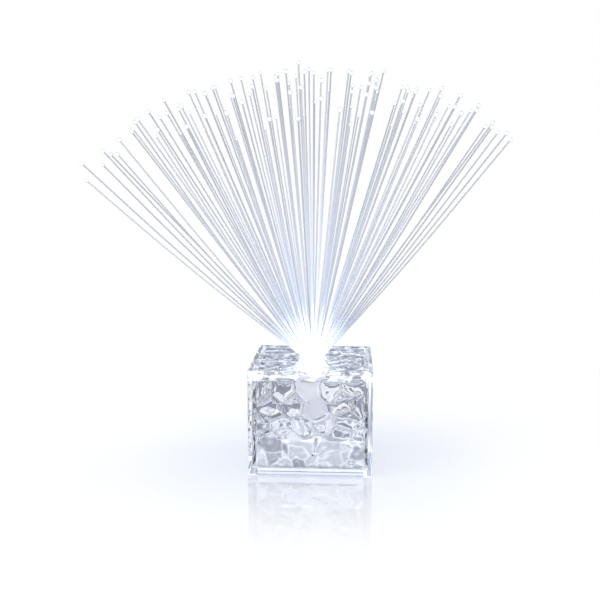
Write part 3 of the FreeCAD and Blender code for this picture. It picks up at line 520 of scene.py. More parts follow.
def bool_step(piece, tool, operation):
    """One exact boolean, applied at once. The tool is removed."""
    modifier = piece.modifiers.new("cut", "BOOLEAN")
    modifier.object = tool
    modifier.operation = operation
    modifier.solver = "EXACT"
    settle(piece)
    bpy.data.objects.remove(tool)


print("cutting helpers ready")

# %% [markdown]
# The core's grids are merged and its open foot is filled before it can cut anything. Every tool
# reaches past what it cuts, because a boolean fails on faces that coincide.

# %% Close the core and cut it from the block
PAST = 0.0005
EDGE_ROUND = 0.00035
SEAT_TOP = 0.0505
NECK_FROM, NECK_TO = 0.045, 0.054
MOUTH_FROM = -0.002

shape = bmesh.new()
shape.from_mesh(core.data)
bmesh.ops.remove_doubles(shape, verts=shape.verts, dist=1e-6)
bmesh.ops.holes_fill(shape, edges=[edge for edge in shape.edges if edge.is_boundary])
bmesh.ops.recalc_face_normals(shape, faces=shape.faces)
print("open edges left on the core:", sum(edge.is_boundary for edge in shape.edges))
shape.to_mesh(core.data)
shape.free()

bool_step(core, turned("seat", [(SEAT_OUTER, CEILING), (SEAT_OUTER, SEAT_TOP)]), "DIFFERENCE")
clear_block = square_block("clear_block", BLOCK_HALF, 0.0, BLOCK_TOP, EDGE_ROUND)
mouth = square_block("mouth", RIM_HALF, MOUTH_FROM, RIM_HEIGHT + PAST)
neck = turned("neck", [(NECK_HOLE, NECK_FROM), (NECK_HOLE, NECK_TO)])
for tool in (core, mouth, neck):
    bool_step(clear_block, tool, "DIFFERENCE")
print("faces of the block:", len(clear_block.data.polygons))

# %% [markdown]
# Stones are shaded smooth up to a steep angle, so only their grooves stay crisp. Outside, even a
# shallow edge does.

# %% Smooth stones, crisp grooves and flat faces
CRISP_OUTSIDE, CRISP_INSIDE = 20, 75

mesh = clear_block.data
mesh.materials.clear()
mesh.materials.append(acrylic)
mesh.shade_smooth()
shape = bmesh.new()
shape.from_mesh(mesh)
for edge in shape.edges:
    outside = any(max(abs(end.co.x), abs(end.co.y)) > BLOCK_HALF - PAST
                  or not RIM_HEIGHT < end.co.z < BLOCK_TOP - PAST for end in edge.verts)
    limit = math.radians(CRISP_OUTSIDE if outside else CRISP_INSIDE)
    edge.smooth = edge.calc_face_angle(0.0) < limit
shape.to_mesh(mesh)
shape.free()
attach(clear_block, "lamp")
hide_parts("cube_shell")
mesh.calc_loop_triangles()
print("clear block:", len(mesh.loop_triangles), "triangles")

# %% [markdown]
# ## Fibers
# Each fiber is a thin acrylic rod. It stands upright in the sleeve, bends at the mouth and runs
# almost straight to its tip, which is melted into a small bead. Light leaves at the tip and leaks
# out along the first centimetres, so the root of the fan glows white. A point light in the bundle
# would light the fibers from outside only, so the half see-through finish gives off light by its
# distance from the mouth. With Layer Weight a bead gets a painted highlight and glow in its middle
# and painted shade, grey, at its outline.

# %% Finish of the fibers
MOUTH = Vector((0.0, 0.0, 0.0524))
CORE_GLOW = 0.9
ROOT_GLOW = 2.1
FAR_GLOW = 0.40

fiber_acrylic, tree, shader = new_finish(
    "fiber_acrylic", Transmission_Weight=0.35, IOR=1.49, Emission_Color=(0.76, 0.86, 1.0, 1.0))
tinted(tree, shader, carried(tree, "tint"),
       [(0.0, (0.625, 0.655, 0.74)), (1.0, (0.85, 0.872, 0.93))])
between(tree, shader, "Roughness", grain(tree, 300.0), 0.08, 0.16)
far = distance(tree, MOUTH)
leaks = maths(tree, "ADD", ramped(tree, far, 0.005, 0.030, ROOT_GLOW, 0.0, "SMOOTHSTEP"),
              ramped(tree, far, 0.010, 0.125, FAR_GLOW, 0.0))
glow = maths(tree, "ADD", maths(tree, "MULTIPLY", leaks, carried(tree, "beam")),
             ramped(tree, far, 0.004, 0.012, CORE_GLOW, 0.0))
tree.links.new(glow, shader.inputs["Emission Strength"])

bead_glow, tree, shader = new_finish(
    "fiber_tip_glow", Transmission_Weight=0.2, IOR=1.49, Roughness=0.2,
    Emission_Color=(0.90, 0.95, 1.0, 1.0))
# Painted highlight and shade: a bead's colour is bright where it faces the camera and grey at its
# outline, and it glows most in its middle.
facing = add(tree, "ShaderNodeLayerWeight", {"Blend": 0.5}).node.outputs["Facing"]
tinted(tree, shader, facing, [(0.20, (0.93, 0.96, 1.0)), (0.55, (0.72, 0.76, 0.84))])
tree.links.new(ramped(tree, facing, 0.10, 0.35, 0.6, 0.0), shader.inputs["Emission Strength"])
print(fiber_acrylic.name, bead_glow.name)

# %% [markdown]
# The bundle is a hexagon of rings, and a fiber leans by its place in it: to the side by its
# column, forwards or back by its row. Hair curves would also give a spray, but not the even order
# of a tight bundle. Fan angles are drawn together into tufts, and a seeded wobble keeps any two
# from running alike.

# %% Places in the bundle and angles of the tufts
RINGS = 6
FIBER_DIA = 0.00075
PITCH = 0.00081
TUFT_EDGES = (-55.0, -41.0, -31.0, -24.0, -16.5, -7.4, 3.7, 13.8, 24.3, 33.0, 43.0)
TUFT_WIDTH = 0.8


def ring_places(ring):
    """Places of one ring of the hexagonal bundle, in units of its pitch."""
    if ring == 0:
        return [(0.0, 0.0)]
    corners = [(ring * math.cos(math.radians(60 * k)), ring * math.sin(math.radians(60 * k)))
               for k in range(7)]
    return [(ax + step / ring * (bx - ax), ay + step / ring * (by - ay))
            for (ax, ay), (bx, by) in zip(corners, corners[1:]) for step in range(ring)]


def into_tuft(angle):
    """Draw a fan angle towards the middle of the tuft that it falls in."""
    for low, high in zip(TUFT_EDGES, TUFT_EDGES[1:]):
        if low <= angle <= high:
            return (low + high) / 2 + TUFT_WIDTH * (angle - (low + high) / 2)
    return angle


print("fibers in the outer ring:", len(ring_places(RINGS)))

# %% Routes of the fibers
REACH = 0.145
BUNDLE_DEPTH = 0.012
TRIM = 0.0006
FAN, FAN_LEFT_LESS, FAN_DEPTH = 41.0, 12.0, 40.0
WOBBLE = 0.9
BOW = 1.6
TO_KNEE, FROM_KNEE = 0.42, 0.58


def heading(fan, depth):
    """Unit vector that leans by fan to the right and by depth to the back, in degrees."""
    return Vector((math.tan(math.radians(fan)), math.tan(math.radians(depth)), 1)).normalized()


def fiber_route(place, ring, chance):
    """Corner points of one fiber: foot, mouth, knee and tip, or without a knee if straight."""
    across, along = place[0] / RINGS, place[1] / RINGS
    fan = FAN * across - (FAN_LEFT_LESS * across ** 2 if across < 0 else 0)
    fan = into_tuft(fan) + chance.uniform(-WOBBLE, WOBBLE)
    depth = FAN_DEPTH * along + chance.uniform(-WOBBLE, WOBBLE)
    reach = REACH * (1 + chance.uniform(-0.03, 0.015))
    mouth = Vector((place[0] * PITCH, place[1] * PITCH, MOUTH.z + 0.0003))
    foot = Vector((mouth.x, mouth.y, MOUTH.z - BUNDLE_DEPTH))
    if ring < RINGS:
        return [foot, mouth, mouth + heading(fan, depth) * reach]
    bend = BOW * math.hypot(fan, depth) / FAN
    turn_fan, turn_depth = (bend * part / math.hypot(fan, depth) for part in (fan, depth))
    knee = mouth + heading(fan + turn_fan, depth + turn_depth) * (reach * TO_KNEE)
    tip = knee + heading(fan - turn_fan, depth - turn_depth) * (reach * FROM_KNEE)
    return [foot, mouth, knee, tip]


chance = random.Random(4)
in_bundle = [(place, ring) for ring in range(RINGS + 1) for place in ring_places(ring)]
routes = [fiber_route(place, ring, chance) for place, ring in in_bundle]
for route in routes:
    route[-1] -= (route[-1] - route[-2]).normalized() * TRIM
print("fibers:", len(routes))

# %% [markdown]
# The routes go into a mesh of bare edges, because that is the simplest thing a geometry tree can
# turn into curves. Each corner carries the radius of its bend, a tint, and its share of the LED's
# beam, which is strongest in the middle of the bundle.

# %% Bare edges along the routes
MOUTH_BEND = 0.002
KNEE_BEND = 1.5
BEAM_LOSS = 0.84

points, edges, bends, tints, shares = [], [], [], [], []
shade = random.Random(9)
for route, (place, ring) in zip(routes, in_bundle):
    start = len(points)
    points += [tuple(point) for point in route]
    edges += [(start + k, start + k + 1) for k in range(len(route) - 1)]
    bends += [0.0, MOUTH_BEND] + [KNEE_BEND] * (len(route) - 3) + [0.0]
    tints += [shade.random()] * len(route)
    shares += [1.0 - BEAM_LOSS * (ring / RINGS) ** 1.2] * len(route)
wires = bpy.data.meshes.new("fiber_routes")
wires.from_pydata(points, edges, [])
for name, values in (("bend", bends), ("tint", tints), ("beam", shares)):
    carry(wires, name, values)
print("route points:", len(points))

# %% [markdown]
# The first tree rounds the corners and sweeps a small circle along each curve. A curve object
# with a bevel would do the same, but here the thickness and the sides stay numbers to try.

# %% Geometry tree that sweeps the fibers
sweep, size = open_tree("fiber_sweep", Thickness=0.001, Sides=8, Material=fiber_acrylic)
lines = add(sweep, "GeometryNodeMeshToCurve", {"Mesh": size["Geometry"]})
rounded = add(sweep, "GeometryNodeFilletCurve",
              {"Curve": lines, "Count": 9, "Radius": stored(sweep, "bend"),
               "Limit Radius": True}, mode="POLY")
ring = add(sweep, "GeometryNodeCurvePrimitiveCircle",
           {"Resolution": size["Sides"],
            "Radius": maths(sweep, "MULTIPLY", size["Thickness"], 0.5)})
rods = add(sweep, "GeometryNodeCurveToMesh",
           {"Curve": rounded, "Profile Curve": ring, "Fill Caps": True})
smooth = add(sweep, "GeometryNodeSetShadeSmooth", {"Geometry": rods})
close_tree(sweep, smooth, size["Material"])
fibers = run_tree(new_piece("fiber_spray", wires.copy()), sweep, Thickness=FIBER_DIA)
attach(fibers, "lamp")
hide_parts(*["fibers_ring_%d" % ring for ring in range(RINGS + 1)])
print("fiber spray:", len(fibers.data.polygons), "faces")

# %% [markdown]
# The second tree puts a bead just inside each tip, so the spray keeps its true height.

# %% Geometry tree for the beads
BEAD_DIA = 0.0022

tips, size = open_tree("fiber_tips", Bead=0.002, Material=bead_glow)
lines = add(tips, "GeometryNodeMeshToCurve", {"Mesh": size["Geometry"]})
last = add(tips, "GeometryNodeCurveEndpointSelection", {"Start Size": 0, "End Size": 1})
inwards = add(tips, "ShaderNodeVectorMath",
              {0: add(tips, "GeometryNodeInputTangent"),
               "Scale": maths(tips, "MULTIPLY", size["Bead"], -0.5)}, operation="SCALE")
inset = add(tips, "GeometryNodeSetPosition",
            {"Geometry": lines, "Selection": last, "Offset": inwards})
ball = add(tips, "GeometryNodeMeshIcoSphere",
           {"Radius": maths(tips, "MULTIPLY", size["Bead"], 0.5), "Subdivisions": 2})
beads = add(tips, "GeometryNodeInstanceOnPoints",
            {"Points": inset, "Selection": last, "Instance": ball})
smooth = add(tips, "GeometryNodeSetShadeSmooth",
             {"Geometry": add(tips, "GeometryNodeRealizeInstances", {"Geometry": beads})})
close_tree(tips, smooth, size["Material"])
fiber_tips = run_tree(new_piece("fiber_tips", wires), tips, Bead=BEAD_DIA)
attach(fiber_tips, "lamp")
print("fiber tips:", len(fiber_tips.data.polygons), "faces")

# %% [markdown]
# ## White plastic and the LED's epoxy
# The sleeve and the LED's holder are white plastic that lets some light through, which is
# Subsurface in the shader. They also give off a painted glow that grows towards the top. The LED is
# clear epoxy, and its whole surface gives off the light.

# %% Finishes around the light
white_plastic, tree, shader = new_finish(
    "white_sleeve_plastic", IOR=1.46, Subsurface_Weight=0.35, Subsurface_Scale=0.004,
    Subsurface_Radius=(1.0, 1.0, 1.0), Emission_Color=(1.0, 0.93, 0.96, 1.0))
surfaced(tree, shader, grain(tree, 120.0),
         [(0.35, (0.80, 0.82, 0.86)), (0.65, (0.90, 0.91, 0.94))],
         (grain(tree, 500.0), 0.30, 0.45), (grain(tree, 900.0), 0.00008, 0.4))
# Painted glow: the white plastic gives off light that grows from its bottom to its top.
painted_sleeve_glow = ramped(tree, axes(tree, object_places(tree))["Z"], 0.017, 0.052, 0.15, 0.27)
tree.links.new(painted_sleeve_glow, shader.inputs["Emission Strength"])
dress(white_plastic, "ferrule", "led_holder")

led_epoxy, tree, shader = new_finish(
    "led_epoxy", Base_Color=(0.94, 0.97, 1.0, 1.0), IOR=1.5, Transmission_Weight=0.8,
    Emission_Color=(0.85, 0.92, 1.0, 1.0))
between(tree, shader, "Roughness", grain(tree, 700.0), 0.02, 0.10)
between(tree, shader, "Emission Strength", grain(tree, 300.0), 1.2, 1.8)
print(white_plastic.name, led_epoxy.name)

# %% [markdown]
# ## Grey plastic of the module
# The module is grey moulded plastic with a fine grain. The stones in front of it gather light and
# throw a soft net of bright lines on it. Real caustics would need a very long render, so the finish
# gives off the net as faint light: Voronoi cells, bent by noise, are patches with bright borders.

# %% Finish of the module
NET_SCALE = 120.0
NET_BEND = (0.009, 0.009, 0.009)

grey_plastic, tree, shader = new_finish(
    "grey_moulded_plastic", IOR=1.5, Coat_Weight=0.6, Coat_Roughness=0.06,
    Emission_Color=(0.88, 0.93, 1.0, 1.0))
bent = add(tree, "ShaderNodeVectorMath",
           {0: grain(tree, 110.0, 0.0).node.outputs["Color"], 1: NET_BEND,
            2: object_places(tree)}, operation="MULTIPLY_ADD")
net = add(tree, "ShaderNodeTexVoronoi", {"Vector": bent, "Scale": NET_SCALE}).node
patch = add(tree, "ShaderNodeSeparateColor", {"Color": net.outputs["Color"]})
border = add(tree, "ShaderNodeTexVoronoi", {"Vector": bent, "Scale": NET_SCALE},
             feature="DISTANCE_TO_EDGE")
streaks = add(tree, "ShaderNodeTexNoise", {"Vector": bent, "Scale": 380.0, "Detail": 2.0})
on_wall = maths(tree, "ADD", ramped(tree, patch, 0.15, 0.85, 0.12, 0.44),
                ramped(tree, border, 0.01, 0.10, 0.34, 0.0),
                ramped(tree, streaks, 0.52, 0.70, 0.0, 0.32))
on_cover = maths(tree, "ADD", ramped(tree, patch, 0.25, 0.85, 0.0, 0.22),
                 ramped(tree, border, 0.02, 0.16, 0.75, 0.0))

height = axes(tree, object_places(tree))["Z"]
outward = maths(tree, "MAXIMUM", *sides(tree, object_places(tree)))
is_wall = ramped(tree, outward, 0.0250, 0.0256)
is_cover = ramped(tree, height, 0.0157, 0.0165)
# Painted light: a bright line runs round the walls just above the foot, and the painted net is
# dimmed towards the foot.
above_foot = ramped(tree, height, 0.0036, 0.0048, 0.15, 1.0)
painted_foot_line = window(tree, height, 0.0012, 0.0016, 0.0033, 0.0038, 0.75)
wall_light = maths(tree, "ADD", maths(tree, "MULTIPLY", above_foot, on_wall), painted_foot_line)
light = maths(tree, "ADD", maths(tree, "MULTIPLY", is_cover, on_cover),
              maths(tree, "MULTIPLY", is_wall, wall_light))
tree.links.new(light, shader.inputs["Emission Strength"])
surfaced(tree, shader, grain(tree, 60.0), [(0.3, (0.66, 0.68, 0.74)), (0.7, (0.76, 0.78, 0.83))],
         (grain(tree, 400.0), 0.30, 0.45), (grain(tree, 2200.0, 4.0), 0.00006, 0.6))
dress(grey_plastic, "base_housing", "base_cover", "battery_door")
print(grey_plastic.name, "with", len(tree.nodes), "nodes")

# %% [markdown]
# ## Metal, black plastic, board, wires and cell sleeves
# These parts are small and mostly shut in, but each has its own finish. The streaks of drawn
# metal are noise that a Mapping node has squeezed. The board's weave is a Wave texture under green
# lacquer. A cell's printed sleeve changes colour at one end, by a value that its rings carry.

# %% Tinned metal and black plastic
tinned, tree, shader = new_finish("tinned_metal", Metallic=1.0)
drawn = add(tree, "ShaderNodeMapping", {"Vector": object_places(tree), "Scale": (1.0, 1.0, 12.0)})
streaks = add(tree, "ShaderNodeTexNoise", {"Vector": drawn, "Scale": 400.0, "Detail": 3.0})
surfaced(tree, shader, streaks, [(0.35, (0.56, 0.57, 0.58)), (0.65, (0.78, 0.79, 0.80))],
         (streaks, 0.18, 0.38), (streaks, 0.00003, 0.5))
dress(tinned, "led_leads", "positive_contact", "negative_contact", "bridge_contact_left",
      "bridge_contact_right", "switch_pins")

black_plastic, tree, shader = new_finish("black_moulded_plastic", IOR=1.5)
surfaced(tree, shader, grain(tree, 150.0),
         [(0.3, (0.012, 0.012, 0.014)), (0.7, (0.03, 0.03, 0.033))],
         (grain(tree, 500.0), 0.35, 0.55), (grain(tree, 2500.0, 3.0), 0.00004, 0.5))
dress(black_plastic, "resistor", "switch_body", "switch_knob")
print(tinned.name, black_plastic.name)

# %% Board, wires and cell sleeves
board_lacquer, tree, shader = new_finish(
    "board_lacquer", IOR=1.55, Coat_Weight=0.3, Coat_Roughness=0.15)
weave = add(tree, "ShaderNodeTexWave",
            {"Vector": object_places(tree), "Scale": 160.0, "Distortion": 0.6, "Detail": 1.0})
surfaced(tree, shader, weave, [(0.3, (0.010, 0.10, 0.035)), (0.8, (0.016, 0.16, 0.055))],
         (grain(tree, 300.0), 0.25, 0.4), (weave, 0.00003, 0.4))
dress(board_lacquer, "circuit_board")

wire_jacket, tree, shader = new_finish("wire_jacket", IOR=1.5)
surfaced(tree, shader, grain(tree, 500.0), [(0.3, (0.45, 0.02, 0.02)), (0.7, (0.60, 0.04, 0.03))],
         (grain(tree, 900.0), 0.35, 0.5), (grain(tree, 1500.0), 0.00004, 0.4))
dress(wire_jacket, "switch_wires")

cell_wrap, tree, shader = new_finish("cell_wrap", IOR=1.5, Coat_Weight=0.5, Coat_Roughness=0.1)
mottled = maths(tree, "ADD", carried(tree, "along"),
                maths(tree, "MULTIPLY", grain(tree, 400.0), 0.02))
surfaced(tree, shader, mottled,
         [(0.0, (0.105, 0.115, 0.135)), (0.70, (0.125, 0.135, 0.160)),
          (0.72, (0.46, 0.48, 0.52)), (0.98, (0.50, 0.52, 0.56))],
         (grain(tree, 300.0), 0.25, 0.4), (grain(tree, 800.0), 0.00003, 0.4))
print("finishes:", len(bpy.data.materials))

# %% [markdown]
# ## LED
# The white LED is a standard 5 mm one: a flange, a barrel and a dome of clear epoxy, cast in one
# piece. It could be joined from cylinders and half a sphere, but a list of rings is quicker, and
# the helper for the cutting solids already turns it.

# %% Dome of the LED
LED_FOOT = 0.0157
LED_RADIUS = 0.0025
LED_HEIGHT = 0.0082
FLANGE_RADIUS = 0.0029
DOME_MIDDLE = LED_FOOT + LED_HEIGHT - LED_RADIUS


def finish_mesh(piece, angle):
    """Smooth shading, with edges that are sharper than the angle left crisp."""
    piece.data.shade_smooth()
    piece.data.set_sharp_from_angle(angle=math.radians(angle))


dome = [(LED_RADIUS * math.cos(math.radians(angle)),
         DOME_MIDDLE + LED_RADIUS * math.sin(math.radians(angle)))
        for angle in (0, 12, 24, 36, 48, 60, 72, 82, 88)]
flange = [(FLANGE_RADIUS, LED_FOOT), (FLANGE_RADIUS, LED_FOOT + 0.0009),
          (0.0028, LED_FOOT + 0.0010), (LED_RADIUS, LED_FOOT + 0.0010)]
led_lens = turned("led_lens", flange + dome, around=48)
led_lens.data.materials.append(led_epoxy)
finish_mesh(led_lens, 35)
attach(led_lens, "lamp")
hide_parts("led")
print("LED:", len(led_lens.data.polygons), "faces")

# %% [markdown]
# ## Cells
# Three small cells lie side by side and point left and right in turn, so that the contacts join
# them in a row. Each is a steel can in a printed sleeve, with bare ends. One cell is turned from
# its profile. A geometry tree lays a copy on each of three points, because copies made by hand
# would drift apart when the cell is changed.

# %% One cell as a lathe shape
CELL_RADIUS = 0.00525
CELL_LENGTH = 0.0437
CELL_PROFILE = [(0.0030, 0.0), (0.0042, 0.00004), (0.0044, 0.00022), (0.0047, 0.00022),
                (0.0050, 0.00004), (0.00518, 0.00025), (CELL_RADIUS, 0.0007),
                (CELL_RADIUS, 0.0304), (CELL_RADIUS, 0.0426), (0.00515, 0.0431),
                (0.0049, 0.0434), (0.0044, CELL_LENGTH), (0.0040, 0.0436), (0.0039, 0.0433),
                (0.0030, 0.0434), (0.0022, 0.0436), (0.0019, 0.04385), (0.0019, 0.0442),
                (0.0017, 0.0444), (0.0014, 0.0445)]
BARE_BELOW, BARE_ABOVE = 3, 13
CELL_SIDES = 48

cell = turned("cell", CELL_PROFILE, CELL_SIDES)
rings = np.repeat(np.arange(len(CELL_PROFILE) - 1), CELL_SIDES)
bare = np.concatenate(((rings < BARE_BELOW) | (rings >= BARE_ABOVE), (True, True)))
carry(cell.data, "marked", bare, "BOOLEAN", "FACE")
along = np.repeat([height / CELL_LENGTH for radius, height in CELL_PROFILE], CELL_SIDES)
carry(cell.data, "along", along)
finish_mesh(cell, 50)
print("one cell:", len(cell.data.polygons), "faces,", int(bare.sum()), "of them bare")

# %% Geometry tree that lays a copy on each point
def set_out(name, places, angles, copied, lay, material, marked=None):
    """Copies of an object on points. Each is laid over by one angle and spun by its own."""
    tree, size = open_tree(name + "_rows", Copied=copied, Lay=0.0, Material=material)
    part = add(tree, "GeometryNodeObjectInfo", {"Object": size["Copied"]}).node.outputs["Geometry"]
    turn = add(tree, "ShaderNodeCombineXYZ", {"Y": size["Lay"], "Z": stored(tree, "spin")})
    copies = add(tree, "GeometryNodeInstanceOnPoints",
                 {"Points": size["Geometry"], "Instance": part, "Rotation": turn})
    close_tree(tree, copies, size["Material"], marked)
    spots = bpy.data.meshes.new(name)
    spots.from_pydata(places, [], [])
    carry(spots, "spin", angles)
    made = run_tree(new_piece(name, spots), tree, Lay=lay)
    bpy.data.objects.remove(copied)
    return made


CELL_AXIS = 0.00765
CELL_ROWS = (-0.01885, -0.00785, 0.00315)
CELL_FLAT_END = 0.0206
places = [(-CELL_FLAT_END if row != 1 else CELL_FLAT_END, y, CELL_AXIS)
          for row, y in enumerate(CELL_ROWS)]
cells = set_out("cells", places, [0.0, math.pi, 0.0], cell, math.pi / 2, cell_wrap, tinned)
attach(cells, "lamp")
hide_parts("battery_1", "battery_2", "battery_3")
print("cells:", len(cells.data.polygons), "faces")

# %% [markdown]
# ## Screws
# Two self-tapping screws hold the module's cover from below, and their pan heads show in round
# sinks. A screw is a lathe shape too. The cross in its head could be a bump in the material, but
# a cut catches the light from every side, so two tapered blades cut it with exact booleans.

# %% One screw with its cross
HEAD_FACE = 0.0012
HEAD_TOP = 0.0025
SHANK_END = 0.0095
SCREW_PROFILE = [(0.00105, HEAD_FACE), (0.00150, 0.00126), (0.00180, 0.00142), (0.00196, 0.00168),
                 (0.0020, 0.0020), (0.0020, HEAD_TOP), (0.00085, HEAD_TOP), (0.00078, 0.0029),
                 (0.00078, 0.0086), (0.00012, SHANK_END)]
BLADE_DEEP = (0.0011, 0.00026, 0.0021)
BLADE_WIDE = (0.0023, 0.00042, 0.0010)


def blade(turned_by):
    """A tapered blade that cuts one arm of the cross."""
    shape = bmesh.new()
    bmesh.ops.create_cube(shape, size=1.0)
    for vertex in shape.verts:
        length, width, height = BLADE_DEEP if vertex.co.z > 0 else BLADE_WIDE
        u, v = vertex.co.x * length, vertex.co.y * width
        vertex.co = Vector((u * math.cos(turned_by) - v * math.sin(turned_by),
                            u * math.sin(turned_by) + v * math.cos(turned_by), height))
    return piece_from("blade", shape)


screw = turned("screw", SCREW_PROFILE, 40)
for turned_by in (0.0, math.pi / 2):
    bool_step(screw, blade(turned_by), "DIFFERENCE")
print("screw with its cross:", len(screw.data.polygons), "faces")

# %% [markdown]
# The thread is a small triangle swept along a spiral. The same tree as for the cells then sets
# the screws out, each at another angle, as a hand leaves them.

# %% Thread and places of the screws
THREAD_FROM = 0.0031
SCREW_PLACES = [(-0.0201, 0.0201, 0.0), (0.0201, 0.0201, 0.0)]
SCREW_TURNS = [0.4, 1.1]

thread, size = open_tree("screw_thread", Turns=6.5, Core=0.00084, Ridge=0.00016, Length=0.0052,
                         Material=tinned)
spiral = add(thread, "GeometryNodeCurveSpiral",
             {"Resolution": 14, "Rotations": size["Turns"], "Start Radius": size["Core"],
              "End Radius": size["Core"], "Height": size["Length"]})
ridge = add(thread, "GeometryNodeCurvePrimitiveCircle", {"Resolution": 3, "Radius": size["Ridge"]})
wound = add(thread, "GeometryNodeCurveToMesh",
            {"Curve": spiral, "Profile Curve": ridge, "Fill Caps": True})
lifted = add(thread, "GeometryNodeTransform",
             {"Geometry": wound, "Translation": (0, 0, THREAD_FROM)})
both = thread.nodes.new("GeometryNodeJoinGeometry")
thread.links.new(lifted, both.inputs[0])
thread.links.new(size["Geometry"], both.inputs[0])
close_tree(thread, both.outputs[0], size["Material"])
run_tree(screw, thread)
finish_mesh(screw, 40)
screws = set_out("screws", SCREW_PLACES, SCREW_TURNS, screw, 0.0, tinned)
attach(screws, "lamp")
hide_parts("base_screws")
print("screws:", len(screws.data.polygons), "faces")

# %% [markdown]
# ## Studio
# The world is a plain soft light, and a ray that comes straight from the camera sees it white. The
# clear block needs something dark to bend, or it would vanish. Dark boards around it would take
# light away, so only rays that have passed through something clear see a light tent: it falls off
# overhead and below, and has eight darker flags all round.

# %% World: what clear things bend
WHITE = (1.0, 1.0, 1.0, 1.0)

world = bpy.data.worlds.new("light_tent")
bpy.context.scene.world = world
world.use_nodes = True
tree = world.node_tree
tree.nodes.clear()
direction = tree.nodes.new("ShaderNodeTexCoord").outputs["Generated"]
to = axes(tree, direction)
band = coloured(tree, maths(tree, "ABSOLUTE", to["Z"]),
                [(0.10, (0.90, 0.93, 0.98)), (0.28, (0.34, 0.39, 0.52)),
                 (0.62, (0.05, 0.07, 0.12))])
turns = maths(tree, "MULTIPLY", maths(tree, "ARCTAN2", to["Y"], to["X"]), 8.0)
flags = ramped(tree, maths(tree, "COSINE", turns), -0.6, 0.5, 0.55, 1.0)
bent_light = add(tree, "ShaderNodeBackground", {"Color": band, "Strength": flags})
print("tent:", len(tree.nodes), "nodes so far")

# %% [markdown]
# Gloss mirrors a white backdrop behind the lamp and a dimmer room in front of it, and the block's
# flat top mirrors a low grey card all round. The mix for clear things comes after the one for
# gloss, because a ray that passes through them counts as glossy too.

# %% World: what gloss mirrors, and the light itself
def mixed(tree, share, first, second):
    """A mix of two shaders. A share of 1 gives the second."""
    return add(tree, "ShaderNodeMixShader", {0: share, 1: first, 2: second})


room = coloured(tree, ramped(tree, to["Y"], -1.0, 1.0),
                [(0.40, (0.42, 0.45, 0.54)), (0.65, (0.94, 0.97, 1.0))])
low_card = window(tree, to["Z"], 0.06, 0.10, 0.240, 0.262)
past_card = add(tree, "ShaderNodeMix", {"Factor": low_card, 6: room, 7: (0.39, 0.44, 0.57, 1.0)},
                data_type="RGBA").node.outputs[2]
mirrored = add(tree, "ShaderNodeBackground", {"Color": past_card, "Strength": 1.0})
soft = add(tree, "ShaderNodeBackground", {"Color": WHITE, "Strength": 0.75})
white = add(tree, "ShaderNodeBackground", {"Color": WHITE, "Strength": 1.0})
ray = tree.nodes.new("ShaderNodeLightPath").outputs
surface = mixed(tree, ray["Is Glossy Ray"], soft, mirrored)
surface = mixed(tree, ray["Is Transmission Ray"], surface, bent_light)
surface = mixed(tree, ray["Is Camera Ray"], surface, white)
tree.links.new(surface, tree.nodes.new("ShaderNodeOutputWorld").inputs["Surface"])
print("world:", world.name)

# %% [markdown]
# ## Floor
# The lamp stands on a pale glossy board. Near the foot it has a painted cool tint for the lamp's
# own light and mirrors the block faintly. Further out it is plain white and runs into the backdrop.
# Under the block a painted glow stands for light that leaks out of the foot. A lamp could throw
# these tones on it, but it would also light the block, so they are in the board's own finish.

# %% Board: painted tint, polish and the painted glow under the foot
UNDER_LAMP, BESIDE_LAMP = 1.05, 0.605

floor_finish = bpy.data.materials.new("pale_board")
floor_finish.use_nodes = True
tree = floor_finish.node_tree
tree.nodes.clear()
out_by = distance(tree, (0.0, 0.0, 0.0))
# Painted light: a cool tint near the foot, and a stronger glow under the block than beside it.
tint = coloured(tree, ramped(tree, out_by, 0.03, 0.095),
                [(0.0, (0.87, 0.90, 1.0)), (1.0, (1.0, 1.0, 1.0))])
square = maths(tree, "MAXIMUM", *sides(tree, object_places(tree)))
lift_and_painted_leak = ramped(tree, square, 0.0290, 0.0300, UNDER_LAMP, BESIDE_LAMP)
board = add(tree, "ShaderNodeBsdfDiffuse", {"Color": (0.42, 0.43, 0.45, 1.0)})
lift = add(tree, "ShaderNodeEmission", {"Color": tint, "Strength": lift_and_painted_leak})
lit_board = add(tree, "ShaderNodeAddShader", {0: board, 1: lift})
mirror = add(tree, "ShaderNodeBsdfGlossy", {"Color": (0.88, 0.92, 1.0, 1.0), "Roughness": 0.02})
polished = mixed(tree, ramped(tree, out_by, 0.03, 0.13, 0.36, 0.0), lit_board, mirror)
plain = add(tree, "ShaderNodeEmission", {"Color": WHITE, "Strength": 1.0})
ray = tree.nodes.new("ShaderNodeLightPath").outputs
seen = maths(tree, "MAXIMUM", ray["Is Camera Ray"], ray["Is Glossy Ray"],
             ray["Is Transmission Ray"])
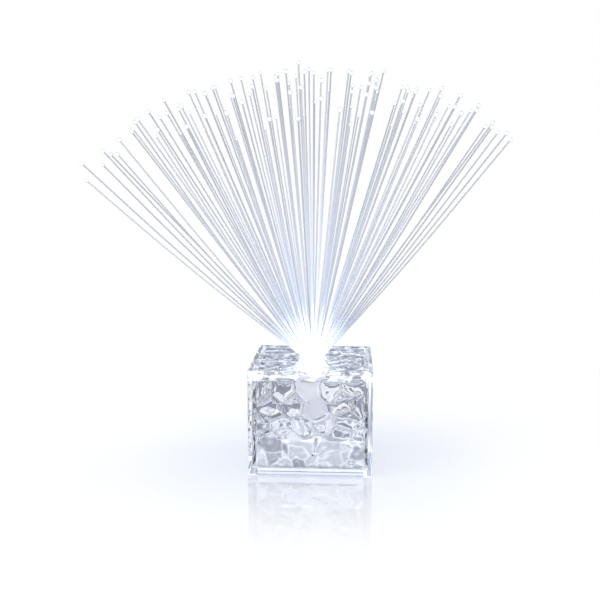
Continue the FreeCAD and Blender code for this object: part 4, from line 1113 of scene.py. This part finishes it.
away = ramped(tree, out_by, 0.12, 0.30, kind="SMOOTHSTEP")
surface = mixed(tree, maths(tree, "MULTIPLY", away, seen), polished, plain)
print("board:", len(tree.nodes), "nodes so far")

# %% [markdown]
# Clear things show their shape by the dark things that they bend. So four grey cards lie on the
# board, one beyond each side of the block. Only light that has passed through something clear
# sees them.

# %% Board: grey cards that only glass sees
CARD_TURN = math.radians(-2.9)
BOARD_RADIUS = 6.0
BOARD_DROP = -0.0002

on_cards = add(tree, "ShaderNodeMapping", {"Vector": object_places(tree),
                                           "Rotation": (0.0, 0.0, CARD_TURN)})
across, along = sides(tree, on_cards)
card = maths(tree, "MULTIPLY",
             window(tree, maths(tree, "MAXIMUM", across, along), 0.045, 0.065, 0.156, 0.170),
             ramped(tree, maths(tree, "MINIMUM", across, along), 0.033, 0.040, 1.0, 0.0))
grey = add(tree, "ShaderNodeEmission", {"Color": (0.22, 0.25, 0.33, 1.0), "Strength": 1.0})
surface = mixed(tree, maths(tree, "MULTIPLY", card, ray["Is Transmission Ray"]), surface, grey)
tree.links.new(surface, tree.nodes.new("ShaderNodeOutputMaterial").inputs["Surface"])

shape = bmesh.new()
bmesh.ops.create_circle(shape, cap_ends=True, segments=96, radius=BOARD_RADIUS)
floor = piece_from("floor", shape)
floor.location.z = BOARD_DROP
floor.data.materials.append(floor_finish)
print("floor:", floor.name)

# %% [markdown]
# ## Lamps
# Two large soft boxes, one on each side, give the block's edges their highlights, where small
# lamps would give hard sparks. They are weak, because most of the light comes from the world.

# %% Soft boxes
AIM = Vector((0, 0, 0.06))


def soft_box(name, place, size, watts):
    """A square area light that faces the lamp."""
    data = bpy.data.lights.new(name, "AREA")
    data.size = size
    data.energy = watts
    box = bpy.data.objects.new(name, data)
    bpy.context.scene.collection.objects.link(box)
    box.location = place
    box.rotation_euler = (AIM - Vector(place)).to_track_quat("-Z", "Y").to_euler()


soft_box("box_left", (-0.9, -0.5, 0.9), 0.7, 5.0)
soft_box("box_right", (1.0, 0.3, 0.7), 0.6, 3.0)
